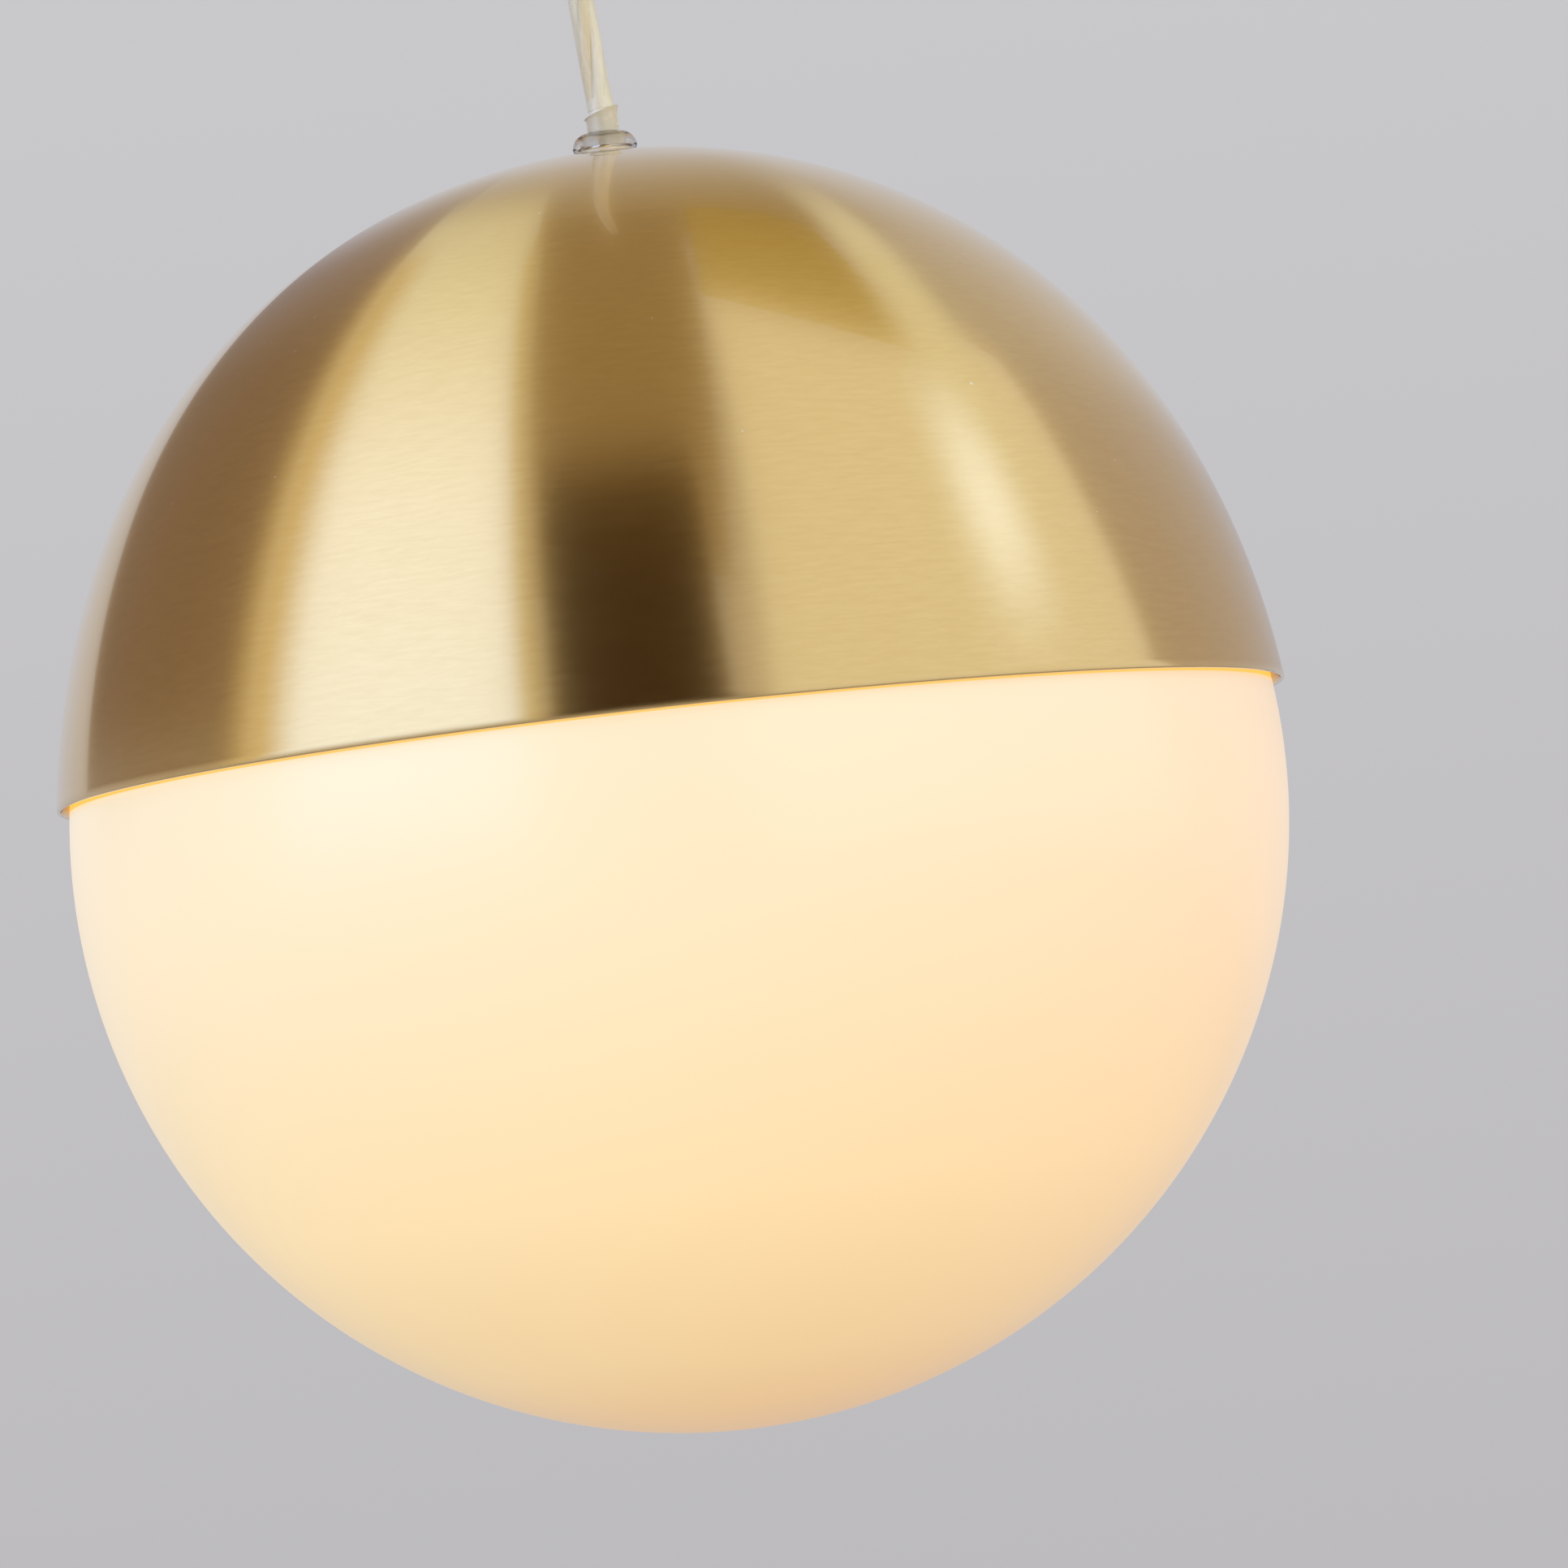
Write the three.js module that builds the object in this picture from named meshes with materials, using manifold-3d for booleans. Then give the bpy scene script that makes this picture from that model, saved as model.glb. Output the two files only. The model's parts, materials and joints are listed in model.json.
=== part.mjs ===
// Pendant ceiling light: a spun brass half dome over an opal glass globe, hung on a clear round cable.
// Millimetres, +Z up. The origin is on the ceiling, at the middle of the ceiling strap's top face.

import * as THREE from 'three';
import { mergeVertices } from 'three/addons/utils/BufferGeometryUtils.js';
import Module from 'manifold-3d';

const wasm = await Module();
wasm.setup();

const DEG = Math.PI / 180;

// ---- driving dimensions -------------------------------------------------------------------------

// Clearances
const GAP = 0.3; // between pieces that touch or seat on each other
const THREAD_GAP = 0.45; // radial, between a globe's or bulb's thread and the thread it turns in
const JOINT_GAP = 0.7; // each side of a bend in the cable

// Suspension
const CEILING_DROP = 240; // ceiling to the dome's crown
const CABLE_DIAMETER = 6.5; // three-core round flex
const CORE_DIAMETER = 2.0; // each insulated core

// Dome
const RIM_RADIUS = 150; // outside of the dome at its rim
const SKIRT_FLARE = 3.5; // how much further out the rim stands than the round crown
const CROWN_ANGLE = 64 * DEG; // from the axis, where the round crown turns into the skirt
const DOME_WALL = 1.0;
const CROWN_FLAT_RADIUS = 12; // flat round the hole in the crown

// Globe
const RIM_GAP = 2.1; // between the dome's inside and the glass, at the rim
const GLOBE_WALL = 2.6;
const NECK_RADIUS = 42; // root of the neck's thread
const NECK_WALL = 3.0;
const NECK_HEIGHT = 10.3; // from the globe's shoulder to its lip
const NECK_THREAD_PITCH = 6;
const NECK_THREAD_DEPTH = 1.3;
const GASKET_THICKNESS = 1.6;
const GASKET_OVERHANG = 1.5; // of the gasket, inwards past the glass lip

// Gallery
const GALLERY_WALL = 1.2;
const SHOULDER_CLEARANCE = 0.8; // between the gallery's shoulder and the dome above it
const SKIRT_LIFT = 2.0; // gallery's lower edge above the globe's shoulder

// Hollow threaded tube, with the cable's sleeve inside it, and its nuts
const SLEEVE_WALL = 0.4;
const SLEEVE_GAP = 0.25; // between cable and sleeve
const SLEEVE_TUBE_GAP = 0.3; // between sleeve and tube
const TUBE_WALL = 0.8;
const TUBE_RADIUS = CABLE_DIAMETER / 2 + SLEEVE_GAP + SLEEVE_WALL + SLEEVE_TUBE_GAP + TUBE_WALL;
const TUBE_PROUD = 1.6; // inside the top washer
const TUBE_ENTRY = 12; // length inside the lampholder cap
const NUT_RADIUS = 8.1; // over the corners
const NUT_HEIGHT = 3;
const CROWN_NUT_RADIUS = 6.9; // low round nut of milky plastic on top of the dome
const CROWN_NUT_HEIGHT = 1.8;
const SEAT_RADIUS = 11;
const SEAT_THICKNESS = 1.5;
const LOCK_WASHER_RADIUS = 8.5;
const LOCK_WASHER_THICKNESS = 0.8;

// Clear sleeve and clear top washer
const SLEEVE_RISE = 5.0; // middle of the sleeve's cut end, above the top washer
const SLEEVE_LENGTH = 21;
const SLEEVE_FLARE = 0.5;
const SLEEVE_FLARE_LENGTH = 2.5;
const SLEEVE_SLANT = 1.3; // rise of the cut from the middle to one side
const TOP_WASHER_RADIUS = 7.95;
const TOP_WASHER_HEIGHT = 4.0;
const TOP_WASHER_EDGE = 0.3;
const TOP_WASHER_ROOF = 1.7; // thickness over the tube's end

// Lampholder
const HOLDER_RADIUS = 19;
const HOLDER_WALL = 1.6;
const CAP_COLLAR_RADIUS = 7.5;
const CAP_COLLAR_HEIGHT = 7;
const CAP_HEIGHT = 33;
const CAP_SHOULDER_DROP = 19; // cap's top to where its side begins
const CAP_FLOOR = 1.5; // under the hollow tube's end
const CAP_SCREW_LENGTH = 3;
const CAP_SCREW_DROP = 3.5;
const BODY_HEIGHT = 26.5;
const MOUTH_RADIUS = 20.5;
const MOUTH_BEAD = 2.4; // height of the bead round the mouth
const INSERT_HEIGHT = 12;
const INSERT_RISE = 8.4; // of the insert above the split between cap and body
const SHELL_LENGTH = 22;
const SHELL_WALL = 0.6;
const CONTACT_RADIUS = 2.8;
const CONTACT_LENGTH = 6.7;
const CONTACT_NOSE = 1.2;
const TIP_DROP = 1.9; // lamp shell's top to the bulb's tip
const SPRING_WIRE = 0.45;
const SPRING_TURNS = 4;
const SPRING_SPACE = 6;
const TERMINAL_SIZE = 5;
const TERMINAL_HEIGHT = 4;
const TERMINAL_PLACE = 9.5; // of each terminal from the axis
const TERMINAL_SCREW_RADIUS = 1.1;
const TERMINAL_SCREW_LENGTH = 2.4;
const TERMINAL_SCREW_PROUD = 0.8;

// Bulb
const BULB_THREAD_RADIUS = 12.1; // root of the cap's thread
const BULB_THREAD_DEPTH = 1.0;
const BULB_THREAD_PITCH = 3.629; // seven threads to the inch
const BULB_CAP_WALL = 0.5;
const BULB_CAP_LENGTH = 21;
const BULB_TIP_RISE = 1.2; // of the contact tip above the cap
const BULB_TIP_RADIUS = 3;
const BULB_TIP_THICKNESS = 0.5;
const INSULATOR_RADIUS = 5.7;
const INSULATOR_DEPTH = 3;
const BULB_RADIUS = 30;
const BULB_LENGTH = 94; // contact tip to the lowest point of the envelope
const BULB_HOUSING_RADIUS = 25.6; // where housing and envelope meet
const BULB_HOUSING_WALL = 1.5;
const BULB_COLLAR_FLARE = 3.2;
const BULB_COLLAR_HEIGHT = 6;
const BULB_SKIRT_HEIGHT = 5;
const BULB_SKIRT_FLARE = 1.5;
const BULB_ENVELOPE_WALL = 1.0;
const LED_PLATE_THICKNESS = 1.5;
const LED_PLATE_RISE = 3.2; // middle of the plate above the housing's lower edge

// Ceiling fitting
const CANOPY_RADIUS = 50;
const CANOPY_DEPTH = 26;
const CANOPY_WALL = 1.0;
const CANOPY_CORNER = 7;
const STRAP_CLEARANCE = 4; // between an ear and the canopy's inside
const STRAP_WIDTH = 20;
const STRAP_THICKNESS = 2;
const EAR_DEPTH = 16;
const EAR_SCREW_DROP = 10; // ceiling to the canopy screws
const CEILING_SLOT_INSET = 12; // middle of a slot from the outside of the ear
const CEILING_SLOT_LENGTH = 8;
const CEILING_SLOT_WIDTH = 4.6;
const CANOPY_SCREW_RADIUS = 2;
const CANOPY_SCREW_HEAD_RADIUS = 4.2;
const CANOPY_SCREW_HEAD_HEIGHT = 3.2;
const SCREW_PROUD = 2; // of a canopy screw's end past the ear
const EARTH_SCREW_PLACE = -18;
const EARTH_SCREW_HEAD_RADIUS = 3.8;
const EARTH_SCREW_HEAD_HEIGHT = 2.4;

// Ceiling cord grip
const GRIP_SHANK_RADIUS = 5.6;
const GRIP_SHANK_HEIGHT = 12;
const GRIP_FLANGE_RADIUS = 9;
const GRIP_FLANGE_HEIGHT = 2.5;
const GRIP_NOSE_HEIGHT = 7;
const GRIP_NOSE_RADIUS = 6.4;
const GRIP_NOSE_FLARE = 1.2;
const GRIP_MOUTH_FLARE = 1.4;
const GRIP_NUT_RADIUS = 9.2;
const GRIP_NUT_HEIGHT = 3.5;
const GRIP_SCREW_RADIUS = 1.5;
const GRIP_SCREW_LENGTH = 6;
const GRIP_SCREW_DROP = 3; // below the shank's top
const TAIL_PROUD = 2; // of the sheath above the grip

// Terminal block
const BLOCK_LENGTH = 15; // along X
const BLOCK_WIDTH = 27; // along Y
const BLOCK_HEIGHT = 9.5;
const BLOCK_PLACE = 13; // its near face from the axis
const WAY_PITCH = 8;
const WAY_RADIUS = 1.5;
const WAY_DROP = 4; // below the block's top
const BLOCK_SCREW_RADIUS = 1.5;
const BLOCK_SCREW_LENGTH = 3.4;
const BLOCK_SCREW_PROUD = 0.4;
const FIXING_SCREW_RADIUS = 1.3;
const FIXING_SCREW_HEAD_HEIGHT = 1.8;
const CORE_STRAIGHT = 2.4; // of each core, out of the sheath before it bends

// Facets round a turned piece, and rings in each turn of a thread
const FACETS_LARGE = 36;
const FACETS_MEDIUM = 20;
const FACETS_SMALL = 12;
const THREAD_RINGS = 5;

// The cable's route from the sleeve in the dome's crown to the ceiling cord grip: x, y, z.
// Flex keeps a little of the curve that it was coiled in, so it leaves the shade 4 degrees off its axis.
const CABLE_ROUTE = [
  [0, 0, -228.4],
  [-1.0, 0, -214.5],
  [-1.9, 0, -200.5],
  [-2.7, 0, -186.5],
  [-3.4, 0, -172.5],
  [-3.9, 0, -158.5],
  [-4.2, 0, -145],
  [-4.3, 0, -131.5],
  [-4.2, 0, -118],
  [-3.9, 0, -104.5],
  [-3.3, 0, -91],
  [-2.6, 0, -77.5],
  [-1.7, 0, -64],
  [-0.8, 0, -50.5],
  [0, 0, -36.5],
];

// ---- finishes -----------------------------------------------------------------------------------

function finish(color, roughness, metalness, opacity = 1) {
  return { color, roughness, metalness, opacity, transparent: opacity < 1 };
}

const FINISHES = {
  brushedBrass: finish(0xc9a765, 0.32, 1),
  plainBrass: finish(0xc8a04f, 0.35, 1),
  zincSteel: finish(0xb9bcc0, 0.4, 1),
  nickel: finish(0xcfcfca, 0.25, 1),
  opalGlass: finish(0xfdeccb, 0.12, 0),
  clearPlastic: finish(0xe4dfd0, 0.1, 0, 0.6),
  clearFlex: finish(0xdbd3bc, 0.25, 0, 0.8),
  whitePlastic: finish(0xf0efe9, 0.45, 0),
  ceramic: finish(0xf3f0e8, 0.3, 0),
  fibre: finish(0xa8522f, 0.8, 0),
  silicone: finish(0xe9e7e0, 0.7, 0),
  blackGlass: finish(0x1a1a1c, 0.15, 0),
  frosted: finish(0xfff3dc, 0.5, 0),
  aluminium: finish(0xc4c6c8, 0.35, 1),
  liveCore: finish(0x7a4a2a, 0.5, 0),
  neutralCore: finish(0x2f66b0, 0.5, 0),
  earthCore: finish(0x6f9a35, 0.5, 0),
};

// ---- making solids ------------------------------------------------------------------------------

// A closed mesh with shared corners, no slivers of no width, and its faces pointing out.
function closed(geometry) {
  for (const name of Object.keys(geometry.attributes)) {
    if (name !== 'position') geometry.deleteAttribute(name);
  }
  const merged = mergeVertices(geometry, 1e-4);
  const corner = merged.getAttribute('position');
  const index = merged.getIndex().array;
  const kept = [];
  let volume = 0;
  const a = new THREE.Vector3();
  const b = new THREE.Vector3();
  const c = new THREE.Vector3();
  for (let i = 0; i < index.length; i += 3) {
    const [p, q, r] = [index[i], index[i + 1], index[i + 2]];
    if (p === q || q === r || r === p) continue;
    kept.push(p, q, r);
    a.fromBufferAttribute(corner, p);
    b.fromBufferAttribute(corner, q);
    c.fromBufferAttribute(corner, r);
    volume += a.dot(b.cross(c));
  }
  if (volume < 0) {
    for (let i = 0; i < kept.length; i += 3) [kept[i + 1], kept[i + 2]] = [kept[i + 2], kept[i + 1]];
  }
  merged.setIndex(kept);
  return merged;
}

// A piece turned about Z from a closed outline of [radius, height] points.
// An outline that touches the axis starts and ends on it; any other is closed here.
function turned(outline, facets) {
  const points = outline.map(([radius, height]) => new THREE.Vector2(radius, height));
  if (outline[0][0] > 0) points.push(points[0].clone());
  const geometry = new THREE.LatheGeometry(points, facets);
  geometry.rotateX(90 * DEG);
  return closed(geometry);
}

// Points on an arc about [centre radius, centre height], from one angle to another (from the radius
// axis, towards +Z), both ends included. A point that falls on the turning axis lies on it exactly.
function arc(centreRadius, centreHeight, radius, from, to, steps) {
  const points = [];
  for (let i = 0; i <= steps; i += 1) {
    const angle = from + ((to - from) * i) / steps;
    const reach = centreRadius + radius * Math.cos(angle);
    points.push([Math.abs(reach) < 1e-6 ? 0 : reach, centreHeight + radius * Math.sin(angle)]);
  }
  return points;
}

// Points at one radius, from one height to another.
function wall(radius, from, to, steps) {
  return Array.from({ length: steps + 1 }, (_, i) => [radius, from + ((to - from) * i) / steps]);
}

// Presses a round-crested right-hand thread into the walls that stand at one radius.
// The crest rises by one pitch in each turn, so two walls with the same phase run in each other.
function pressThread(geometry, { radius, pitch, depth, low, high, fade }) {
  const position = geometry.getAttribute('position');
  for (let i = 0; i < position.count; i += 1) {
    const x = position.getX(i);
    const y = position.getY(i);
    const z = position.getZ(i);
    const reach = Math.hypot(x, y);
    if (Math.abs(reach - radius) > 0.01 || z < low || z > high) continue;
    const run = fade > 0 ? Math.min(1, (z - low) / fade, (high - z) / fade) : 1;
    const wave = 0.5 + 0.5 * Math.cos((2 * Math.PI * z) / pitch - Math.atan2(y, x));
    const scale = 1 + (depth * run * wave) / reach;
    position.setXY(i, x * scale, y * scale);
  }
  return geometry;
}

function toManifold(geometry) {
  const mesh = new wasm.Mesh({
    numProp: 3,
    vertProperties: new Float32Array(geometry.getAttribute('position').array),
    triVerts: new Uint32Array(geometry.getIndex().array),
  });
  return new wasm.Manifold(mesh);
}

function fromManifold(manifold) {
  const mesh = manifold.getMesh();
  const geometry = new THREE.BufferGeometry();
  geometry.setAttribute('position', new THREE.BufferAttribute(new Float32Array(mesh.vertProperties), 3));
  geometry.setIndex(Array.from(mesh.triVerts));
  return geometry;
}

function cut(geometry, tools) {
  let body = toManifold(geometry);
  for (const tool of tools) body = body.subtract(toManifold(tool));
  return fromManifold(body);
}

function rod(radius, length, facets = FACETS_SMALL) {
  const geometry = new THREE.CylinderGeometry(radius, radius, length, facets);
  geometry.rotateX(90 * DEG);
  return closed(geometry);
}

function block(length, width, height) {
  return closed(new THREE.BoxGeometry(length, width, height));
}

function tubeAlong(points, diameter, sides, steps) {
  const section = new THREE.Shape();
  for (let i = 0; i < sides; i += 1) {
    const angle = (2 * Math.PI * i) / sides;
    const x = (diameter / 2) * Math.cos(angle);
    const y = (diameter / 2) * Math.sin(angle);
    if (i === 0) section.moveTo(x, y);
    else section.lineTo(x, y);
  }
  section.closePath();
  const path = new THREE.CatmullRomCurve3(points.map((point) => new THREE.Vector3(...point)));
  return closed(new THREE.ExtrudeGeometry(section, { steps, extrudePath: path, curveSegments: 1 }));
}

function hexNut(cornerRadius, boreRadius, top, height) {
  const outline = new THREE.Shape();
  for (let i = 0; i < 6; i += 1) {
    const x = cornerRadius * Math.cos(i * 60 * DEG);
    const y = cornerRadius * Math.sin(i * 60 * DEG);
    if (i === 0) outline.moveTo(x, y);
    else outline.lineTo(x, y);
  }
  outline.closePath();
  outline.holes.push(new THREE.Path().absarc(0, 0, boreRadius, 0, 2 * Math.PI, true));
  const options = { depth: height, bevelEnabled: false, curveSegments: 8 };
  const geometry = new THREE.ExtrudeGeometry(outline, options);
  geometry.translate(0, 0, top - height);
  return closed(geometry);
}

function ring(innerRadius, outerRadius, top, thickness, facets) {
  return turned(
    [
      [innerRadius, top - thickness],
      [outerRadius, top - thickness],
      [outerRadius, top],
      [innerRadius, top],
    ],
    facets,
  );
}

// A pan-head screw along Z: the head's top at 0, its shank going down.
function panScrew(headRadius, headHeight, shankRadius, shankLength) {
  const slotWidth = headRadius * 0.3;
  const slotDepth = headHeight * 0.4;
  const screw = turned(
    [
      [0, -headHeight - shankLength],
      [shankRadius, -headHeight - shankLength],
      [shankRadius, -headHeight],
      [headRadius, -headHeight],
      [headRadius, -headHeight * 0.4],
      [headRadius * 0.75, 0],
      [0, 0],
    ],
    FACETS_SMALL,
  );
  return cut(screw, [block(headRadius * 3, slotWidth, slotDepth * 2)]);
}

// A headless grub screw along Z: its slotted end at 0, its point going down.
function grubScrew(radius, length) {
  const screw = turned(
    [
      [0, -length],
      [radius * 0.5, -length],
      [radius, -length + radius * 0.5],
      [radius, 0],
      [0, 0],
    ],
    FACETS_SMALL,
  );
  return cut(screw, [block(radius * 3, radius * 0.5, radius)]);
}

const light = new THREE.Group();

// Adds a named piece to a group.
function add(group, name, geometry, look) {
  const mesh = new THREE.Mesh(geometry, new THREE.MeshStandardMaterial(FINISHES[look]));
  mesh.name = name;
  group.add(mesh);
  return mesh;
}

// ---- heights that the pieces share --------------------------------------------------------------
// The shade's own heights are measured from the plane of the dome's rim.

const CROWN_RADIUS = RIM_RADIUS - SKIRT_FLARE;
const RIM_PLANE = -CEILING_DROP - CROWN_RADIUS;
const CABLE_RADIUS = CABLE_DIAMETER / 2;

function crownHeight(radius, offset) {
  return Math.sqrt((CROWN_RADIUS - offset) ** 2 - radius ** 2);
}

const crownFlat = crownHeight(CROWN_FLAT_RADIUS, 0);
const seatTop = crownFlat - DOME_WALL - GAP;
const upperNutTop = seatTop - SEAT_THICKNESS - GAP;
const plateTop = upperNutTop - NUT_HEIGHT - GAP;
const lockWasherTop = plateTop - GALLERY_WALL - GAP;
const lowerNutTop = lockWasherTop - LOCK_WASHER_THICKNESS - GAP;
const holderTop = lowerNutTop - NUT_HEIGHT - GAP;

const galleryBore = NECK_RADIUS + THREAD_GAP;
const galleryRadius = galleryBore + NECK_THREAD_DEPTH + GALLERY_WALL;
const shoulderTop = Math.min(plateTop, crownHeight(galleryRadius, DOME_WALL) - SHOULDER_CLEARANCE);
const gasketTop = shoulderTop - GALLERY_WALL - GAP;
const lipTop = gasketTop - GASKET_THICKNESS - GAP;
const globeShoulder = lipTop - NECK_HEIGHT;
const galleryLow = globeShoulder + SKIRT_LIFT;

// The globe's sphere passes through the foot of its neck and clears the dome's rim by the rim gap.
const glassAtRim = RIM_RADIUS - DOME_WALL - RIM_GAP;
const globeCentre = (NECK_RADIUS ** 2 + globeShoulder ** 2 - glassAtRim ** 2) / (2 * globeShoulder);
const globeRadius = Math.hypot(glassAtRim, globeCentre);

const boreOfTubeParts = TUBE_RADIUS + GAP;
const crownNutTop = crownFlat + GAP + CROWN_NUT_HEIGHT;
const topWasherBottom = crownNutTop + GAP;
const sleeveTop = topWasherBottom + TOP_WASHER_HEIGHT + SLEEVE_RISE;

const holderSplit = holderTop - CAP_HEIGHT;
const mouthHeight = holderSplit - GAP - BODY_HEIGHT;
const insertTop = holderSplit + INSERT_RISE;
const insertBottom = insertTop - INSERT_HEIGHT;
const shellTop = insertBottom - GAP;
const shellBore = BULB_THREAD_RADIUS + THREAD_GAP;
const shellRadius = shellBore + BULB_THREAD_DEPTH + SHELL_WALL;
const insertRadius = HOLDER_RADIUS - HOLDER_WALL - 2 * GAP;
const contactBore = CONTACT_RADIUS + GAP;
const bulbTipTop = shellTop - TIP_DROP;
const contactLow = bulbTipTop + GAP;
const contactHigh = contactLow + CONTACT_LENGTH;
const contactWellTop = contactHigh + SPRING_SPACE;

const canopyBottom = -GAP - CANOPY_DEPTH;
const gripFlangeTop = canopyBottom - GAP;
const gripNoseTop = gripFlangeTop - GRIP_FLANGE_HEIGHT;
const gripMouth = gripNoseTop - GRIP_NOSE_HEIGHT;
const gripShankTop = gripFlangeTop + GRIP_SHANK_HEIGHT;
const gripBore = CABLE_RADIUS + GAP;
const gripScrewHeight = gripShankTop - GRIP_SCREW_DROP;
const strapReach = CANOPY_RADIUS - CANOPY_WALL - STRAP_CLEARANCE;

// ---- ceiling fitting ----------------------------------------------------------------------------

const ceilingFitting = new THREE.Group();
light.add(ceilingFitting);

function ceilingStrap() {
  const section = new THREE.Shape();
  section.moveTo(-strapReach, 0);
  section.lineTo(-strapReach, -EAR_DEPTH);
  section.lineTo(-strapReach + STRAP_THICKNESS, -EAR_DEPTH);
  section.lineTo(-strapReach + STRAP_THICKNESS, -STRAP_THICKNESS);
  section.lineTo(strapReach - STRAP_THICKNESS, -STRAP_THICKNESS);
  section.lineTo(strapReach - STRAP_THICKNESS, -EAR_DEPTH);
  section.lineTo(strapReach, -EAR_DEPTH);
  section.lineTo(strapReach, 0);
  section.closePath();
  const bar = new THREE.ExtrudeGeometry(section, { depth: STRAP_WIDTH, bevelEnabled: false });
  bar.rotateX(90 * DEG);
  bar.translate(0, STRAP_WIDTH / 2, 0);

  const holes = [];
  for (const side of [-1, 1]) {
    const earHole = rod(CANOPY_SCREW_RADIUS + GAP, STRAP_THICKNESS * 3);
    earHole.rotateY(90 * DEG);
    earHole.translate(side * strapReach, 0, -EAR_SCREW_DROP);
    holes.push(earHole);

    const straight = CEILING_SLOT_LENGTH - CEILING_SLOT_WIDTH;
    const slotEnd = CEILING_SLOT_WIDTH / 2;
    const slot = new THREE.Shape();
    slot.absarc(straight / 2, 0, slotEnd, -90 * DEG, 90 * DEG, false);
    slot.absarc(-straight / 2, 0, slotEnd, 90 * DEG, 270 * DEG, false);
    const slotTool = new THREE.ExtrudeGeometry(slot, {
      depth: STRAP_THICKNESS * 3,
      bevelEnabled: false,
      curveSegments: 6,
    });
    slotTool.translate(side * (strapReach - CEILING_SLOT_INSET), 0, -STRAP_THICKNESS * 2);
    holes.push(closed(slotTool));
  }
  const earthHole = rod(CANOPY_SCREW_RADIUS + GAP, STRAP_THICKNESS * 3);
  earthHole.translate(EARTH_SCREW_PLACE, 0, 0);
  holes.push(earthHole);
  const fixingHole = rod(FIXING_SCREW_RADIUS + GAP, STRAP_THICKNESS * 3);
  fixingHole.translate(BLOCK_PLACE + BLOCK_LENGTH / 2, WAY_PITCH / 2, 0);
  holes.push(fixingHole);
  return cut(closed(bar), holes);
}

function canopy() {
  const inner = CANOPY_RADIUS - CANOPY_WALL;
  const cornerCentre = [CANOPY_RADIUS - CANOPY_CORNER, canopyBottom + CANOPY_CORNER];
  const innerCorner = CANOPY_CORNER - CANOPY_WALL;
  const bore = GRIP_SHANK_RADIUS + GAP;
  const cup = turned(
    [
      [bore, canopyBottom],
      ...arc(...cornerCentre, CANOPY_CORNER, -90 * DEG, 0, 4),
      [CANOPY_RADIUS, -GAP],
      [inner, -GAP],
      ...arc(...cornerCentre, innerCorner, 0, -90 * DEG, 4),
      [bore, canopyBottom + CANOPY_WALL],
    ],
    FACETS_LARGE,
  );
  const holes = [-1, 1].map((side) => {
    const hole = rod(CANOPY_SCREW_RADIUS + GAP, CANOPY_WALL * 6);
    hole.rotateY(90 * DEG);
    hole.translate(side * CANOPY_RADIUS, 0, -EAR_SCREW_DROP);
    return hole;
  });
  return cut(cup, holes);
}

function canopyScrew(side) {
  const reach = CANOPY_RADIUS - strapReach + STRAP_THICKNESS + SCREW_PROUD;
  const screw = panScrew(CANOPY_SCREW_HEAD_RADIUS, CANOPY_SCREW_HEAD_HEIGHT, CANOPY_SCREW_RADIUS, reach);
  screw.rotateY(side * 90 * DEG);
  screw.translate(side * (CANOPY_RADIUS + GAP + CANOPY_SCREW_HEAD_HEIGHT), 0, -EAR_SCREW_DROP);
  return screw;
}

// Clear-plastic cord grip: a flanged bush through the canopy, its mouth flared so that the swinging
// cable isn't bent over an edge.
function gripBody() {
  const bush = turned(
    [
      [gripBore, gripMouth + GRIP_MOUTH_FLARE * 1.5],
      [gripBore + GRIP_MOUTH_FLARE * 0.35, gripMouth + GRIP_MOUTH_FLARE * 0.5],
      [gripBore + GRIP_MOUTH_FLARE, gripMouth],
      [GRIP_NOSE_RADIUS, gripMouth],
      [GRIP_NOSE_RADIUS + GRIP_NOSE_FLARE / 2, gripMouth + GRIP_NOSE_FLARE],
      [GRIP_NOSE_RADIUS + GRIP_NOSE_FLARE, gripNoseTop],
      [GRIP_FLANGE_RADIUS, gripNoseTop],
      [GRIP_FLANGE_RADIUS, gripFlangeTop],
      [GRIP_SHANK_RADIUS, gripFlangeTop],
      [GRIP_SHANK_RADIUS, gripShankTop],
      [gripBore, gripShankTop],
    ],
    FACETS_MEDIUM,
  );
  const screwHole = rod(GRIP_SCREW_RADIUS + GAP, GRIP_SHANK_RADIUS * 2);
  screwHole.rotateX(90 * DEG);
  screwHole.translate(0, -GRIP_SHANK_RADIUS * 1.2, gripScrewHeight);
  return cut(bush, [screwHole]);
}

function gripScrew() {
  const screw = grubScrew(GRIP_SCREW_RADIUS, GRIP_SCREW_LENGTH);
  screw.rotateX(90 * DEG);
  screw.translate(0, -(CABLE_RADIUS + GAP + GRIP_SCREW_LENGTH), gripScrewHeight);
  return screw;
}

const blockTop = -STRAP_THICKNESS - GAP;
const blockBottom = blockTop - BLOCK_HEIGHT;
const wayHeight = blockTop - WAY_DROP;
const blockMiddle = BLOCK_PLACE + BLOCK_LENGTH / 2;
const ways = [-1, 0, 1];

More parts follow.
